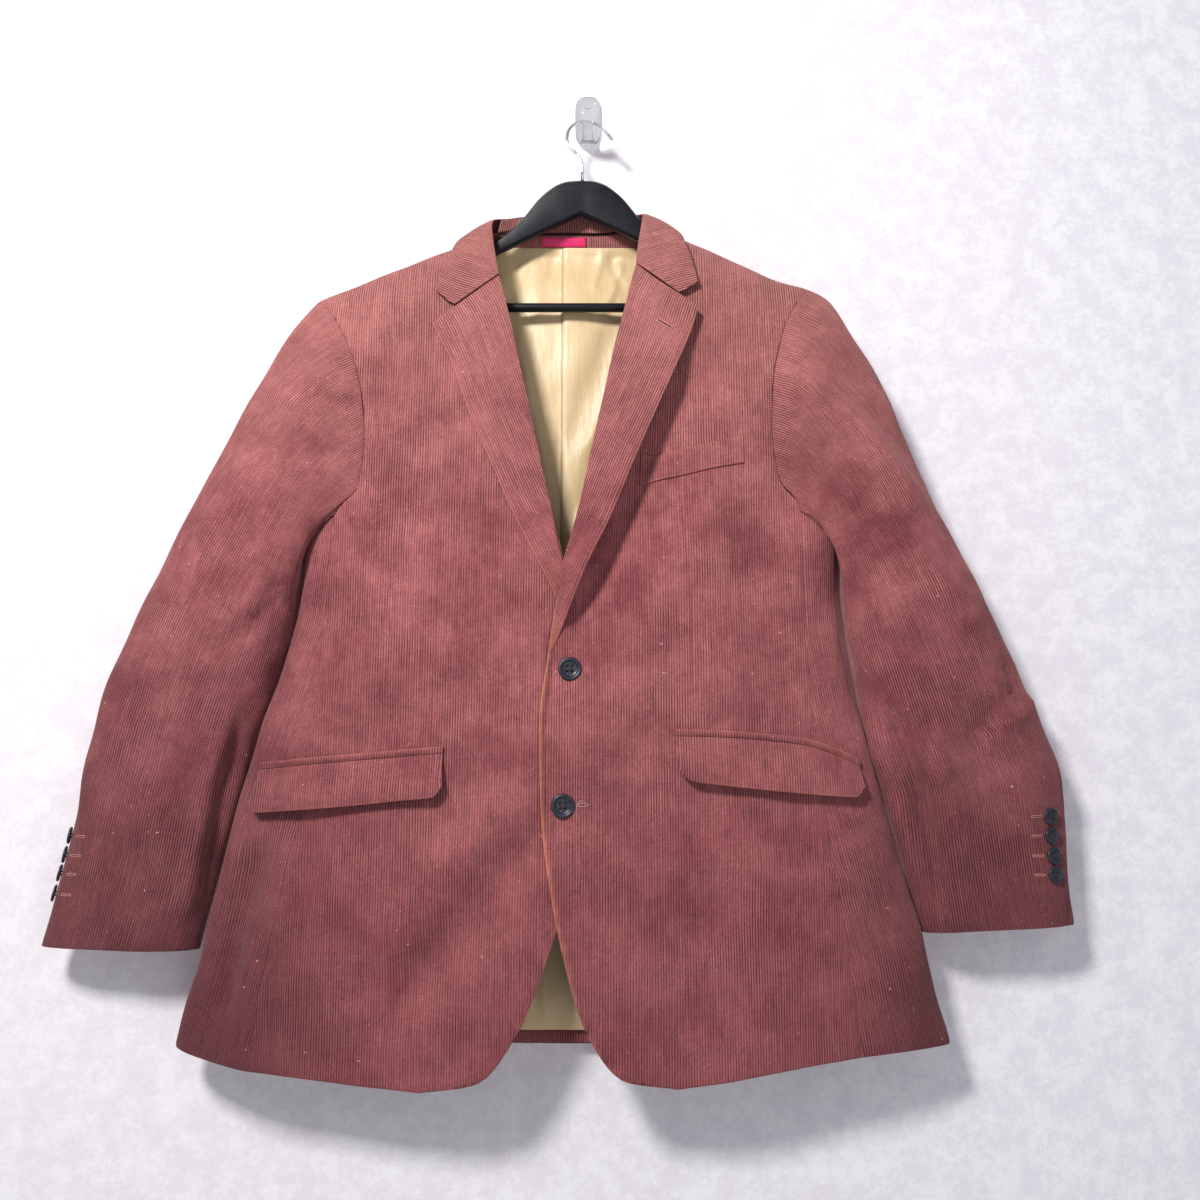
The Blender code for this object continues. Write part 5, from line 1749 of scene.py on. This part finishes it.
def make_buttons():
    data = button_mesh()
    for name, (x, height) in FRONT_BUTTONS.items():
        x, height, near = np.array(x), np.array(height), 1.0
        place = placed(x, height, lift=overlap_lift(x))
        across = placed(x + near, height, lift=overlap_lift(x + near)) - place
        rise = placed(x, height + near, lift=overlap_lift(x)) - place
        out = unit(np.cross(across, rise))
        place = place + out * body_lift(place)
        make_button(name + "_button", name + "_front_button", data, FRONT_BUTTON / 2, place, out)
    for side, where in CUFF_BUTTONS.items():
        for number, along in enumerate(where["along"], 1):
            turn, along, near = np.array(math.radians(where["turn"])), np.array(along), 0.02
            place = sleeve_section(side, turn, along)
            across = sleeve_section(side, turn + near, along) - place
            down = sleeve_section(side, turn, along + near) - place
            out = unit(np.cross(across, down)) * -INWARDS[side]
            place = place + out * fold_height(SLEEVE_FOLDS[side], place)
            name = f"{side}_cuff_button_{number}"
            make_button(name + "_round", name, data, SLEEVE_BUTTON / 2, place, out)
            CUFF_PLACES[side].append(place)


def on_cloth(name, x, height):
    """The point of a piece's face at x and height, lifted a little off it, in metres."""
    start = Vector((x * MM, BEFORE_ALL, height * MM))
    graph = bpy.context.evaluated_depsgraph_get()
    _, place, out, _ = SHEETS[name].ray_cast(start, Vector((0, 1, 0)), depsgraph=graph)
    return np.array(place + out * STITCH_LIFT * MM)


def stitch(name, node, lines, diameter, material):
    """Threads along lines of (x, height) points on the face of a piece of cloth."""
    routes = []
    for line in lines:
        line = np.array(line, float)
        walked = np.linspace(0, len(line) - 1, 4 * len(line) + 1)
        x = np.interp(walked, np.arange(len(line)), line[:, 0])
        height = np.interp(walked, np.arange(len(line)), line[:, 1])
        routes.append([on_cloth(node, *point) for point in zip(x, height)])
    threads = tube(name, routes, diameter * MM, material, sides=5)
    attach(threads, "root")
    return threads


def buttonholes(name, node, slits, half, seam):
    """Worked buttonholes: dark slits with a thick seam of thread round each."""
    loops = []
    for start, end in np.array(slits):
        along = unit(end - start) * half
        aside = np.array((-along[1], along[0]))
        corners = [start - along, start + aside, end + aside, end + along, end - aside, start - aside]
        loops.append([*corners, corners[0]])
    stitch(name + "_slits", node, slits, seam, "thread")
    stitch(name + "_seams", node, loops, seam, "pale_thread")


def make_stitches():
    buttonholes("lapel_buttonhole", "left_lapel", [LAPEL_BUTTONHOLE], 1.3, 1.15)
    stitch("edge_knot", "left_front", EDGE_KNOT, 1.1, "lint_thread")
    stitch("loose_ends", "left_front", LOOSE_ENDS, 0.35, "lint_thread")
    for side, inwards in INWARDS.items():
        slits = []
        for x, _, height in CUFF_PLACES[side]:
            start = x + inwards * CUFF_STITCH["from_button"]
            slits.append([(start, height), (start + inwards * CUFF_STITCH["length"], height)])
        buttonholes(side + "_cuff_buttonholes", side + "_top_sleeve", slits, 0.75, 0.75)


def soften(name, width, material):
    """Rounds the edges of a hard node and gives it its material."""
    node = frame["nodes"][name]
    node.data.polygons.foreach_set("use_smooth", np.ones(len(node.data.polygons), bool))
    weld = node.modifiers.new("weld", "WELD")
    weld.merge_threshold = 1e-5
    if width:
        bevel = node.modifiers.new("round edges", "BEVEL")
        bevel.width = width * MM
        bevel.segments = 3
        bevel.limit_method = "ANGLE"
        bevel.angle_limit = math.radians(BEVEL_ANGLE)
        bevel.harden_normals = True
    node.data.materials.clear()
    node.data.materials.append(MATERIALS[material])


def make_hard_parts():
    soften("hanger_wood", 1.2, "hanger_black")
    soften("trouser_bar", 0.8, "hanger_black")
    soften("hanger_hook", 0.0, "chrome")
    soften("wall_hook", 0.8, "clear_plastic")


# --- Stage ------------------------------------------------------------------------------------

CAMERA = (0.01195, -1.12, -0.63806)
CAMERA_TILT = 98.0
LENS = 36.09
WALL_SIZE = 3.0
WALL_GAP = 0.0006  # metres, behind the hook's plate
LIT_PLACE = (0, -0.05, -0.5)  # which each light faces
LIGHTS = {  # place, size, power and colour
    "key": ((-0.68, -1.42, 0.42), 0.3, 32, (1.0, 0.98, 0.97)),
    "fill": ((0.8, -2.1, -1.2), 1.6, 8, (0.93, 0.95, 1.0)),
    "rear": ((-0.7, 1.9, 0.5), 1.6, 30, (0.97, 0.98, 1.0)),
}
SKY = (0.93, 0.93, 1.0, 1)
SKY_STRENGTH = 0.36


def make_wall():
    mesh = bmesh.new()
    bmesh.ops.create_grid(mesh, x_segments=1, y_segments=1, size=WALL_SIZE)
    bmesh.ops.rotate(mesh, verts=mesh.verts, matrix=Matrix.Rotation(math.radians(90), 3, "X"))
    wall = collect("wall", mesh, "plaster")
    wall.location.y = WALL_GAP
    wall.visible_diffuse = False  # so that the jacket's back is lit in a view from behind
    wall.visible_shadow = False
    wall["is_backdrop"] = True


def make_lights():
    for name, (place, size, power, colour) in LIGHTS.items():
        light = bpy.data.lights.new(name, "AREA")
        light.size = size
        light.energy = power
        light.color = colour
        lamp = add_object(name, light)
        lamp.location = place
        lamp.rotation_euler = (Vector(LIT_PLACE) - Vector(place)).to_track_quat("-Z", "Y").to_euler()
    world = bpy.data.worlds.new("studio")
    bpy.context.scene.world = world
    world.use_nodes = True
    background = world.node_tree.nodes["Background"]
    background.inputs["Color"].default_value = SKY
    background.inputs["Strength"].default_value = SKY_STRENGTH


def make_camera():
    camera = bpy.data.cameras.new("camera")
    camera.lens = LENS
    camera.sensor_width = 36.0
    camera.clip_start = 0.05
    camera.clip_end = 50.0
    obj = add_object("camera", camera)
    obj.location = CAMERA
    obj.rotation_euler = (math.radians(CAMERA_TILT), 0, 0)
    bpy.context.scene.camera = obj
    bpy.context.scene.view_settings.view_transform = "Standard"


def corners(box):
    return [list(corner) for corner in box]


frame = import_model()
solids_box = corners(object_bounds())
make_materials()
make_wall()
make_lights()
make_camera()
make_body()
make_sleeves()
make_collar()
make_inside()
make_pockets()
make_buttons()
make_stitches()
make_hard_parts()
{"cad": solids_box, "visual": corners(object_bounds())}
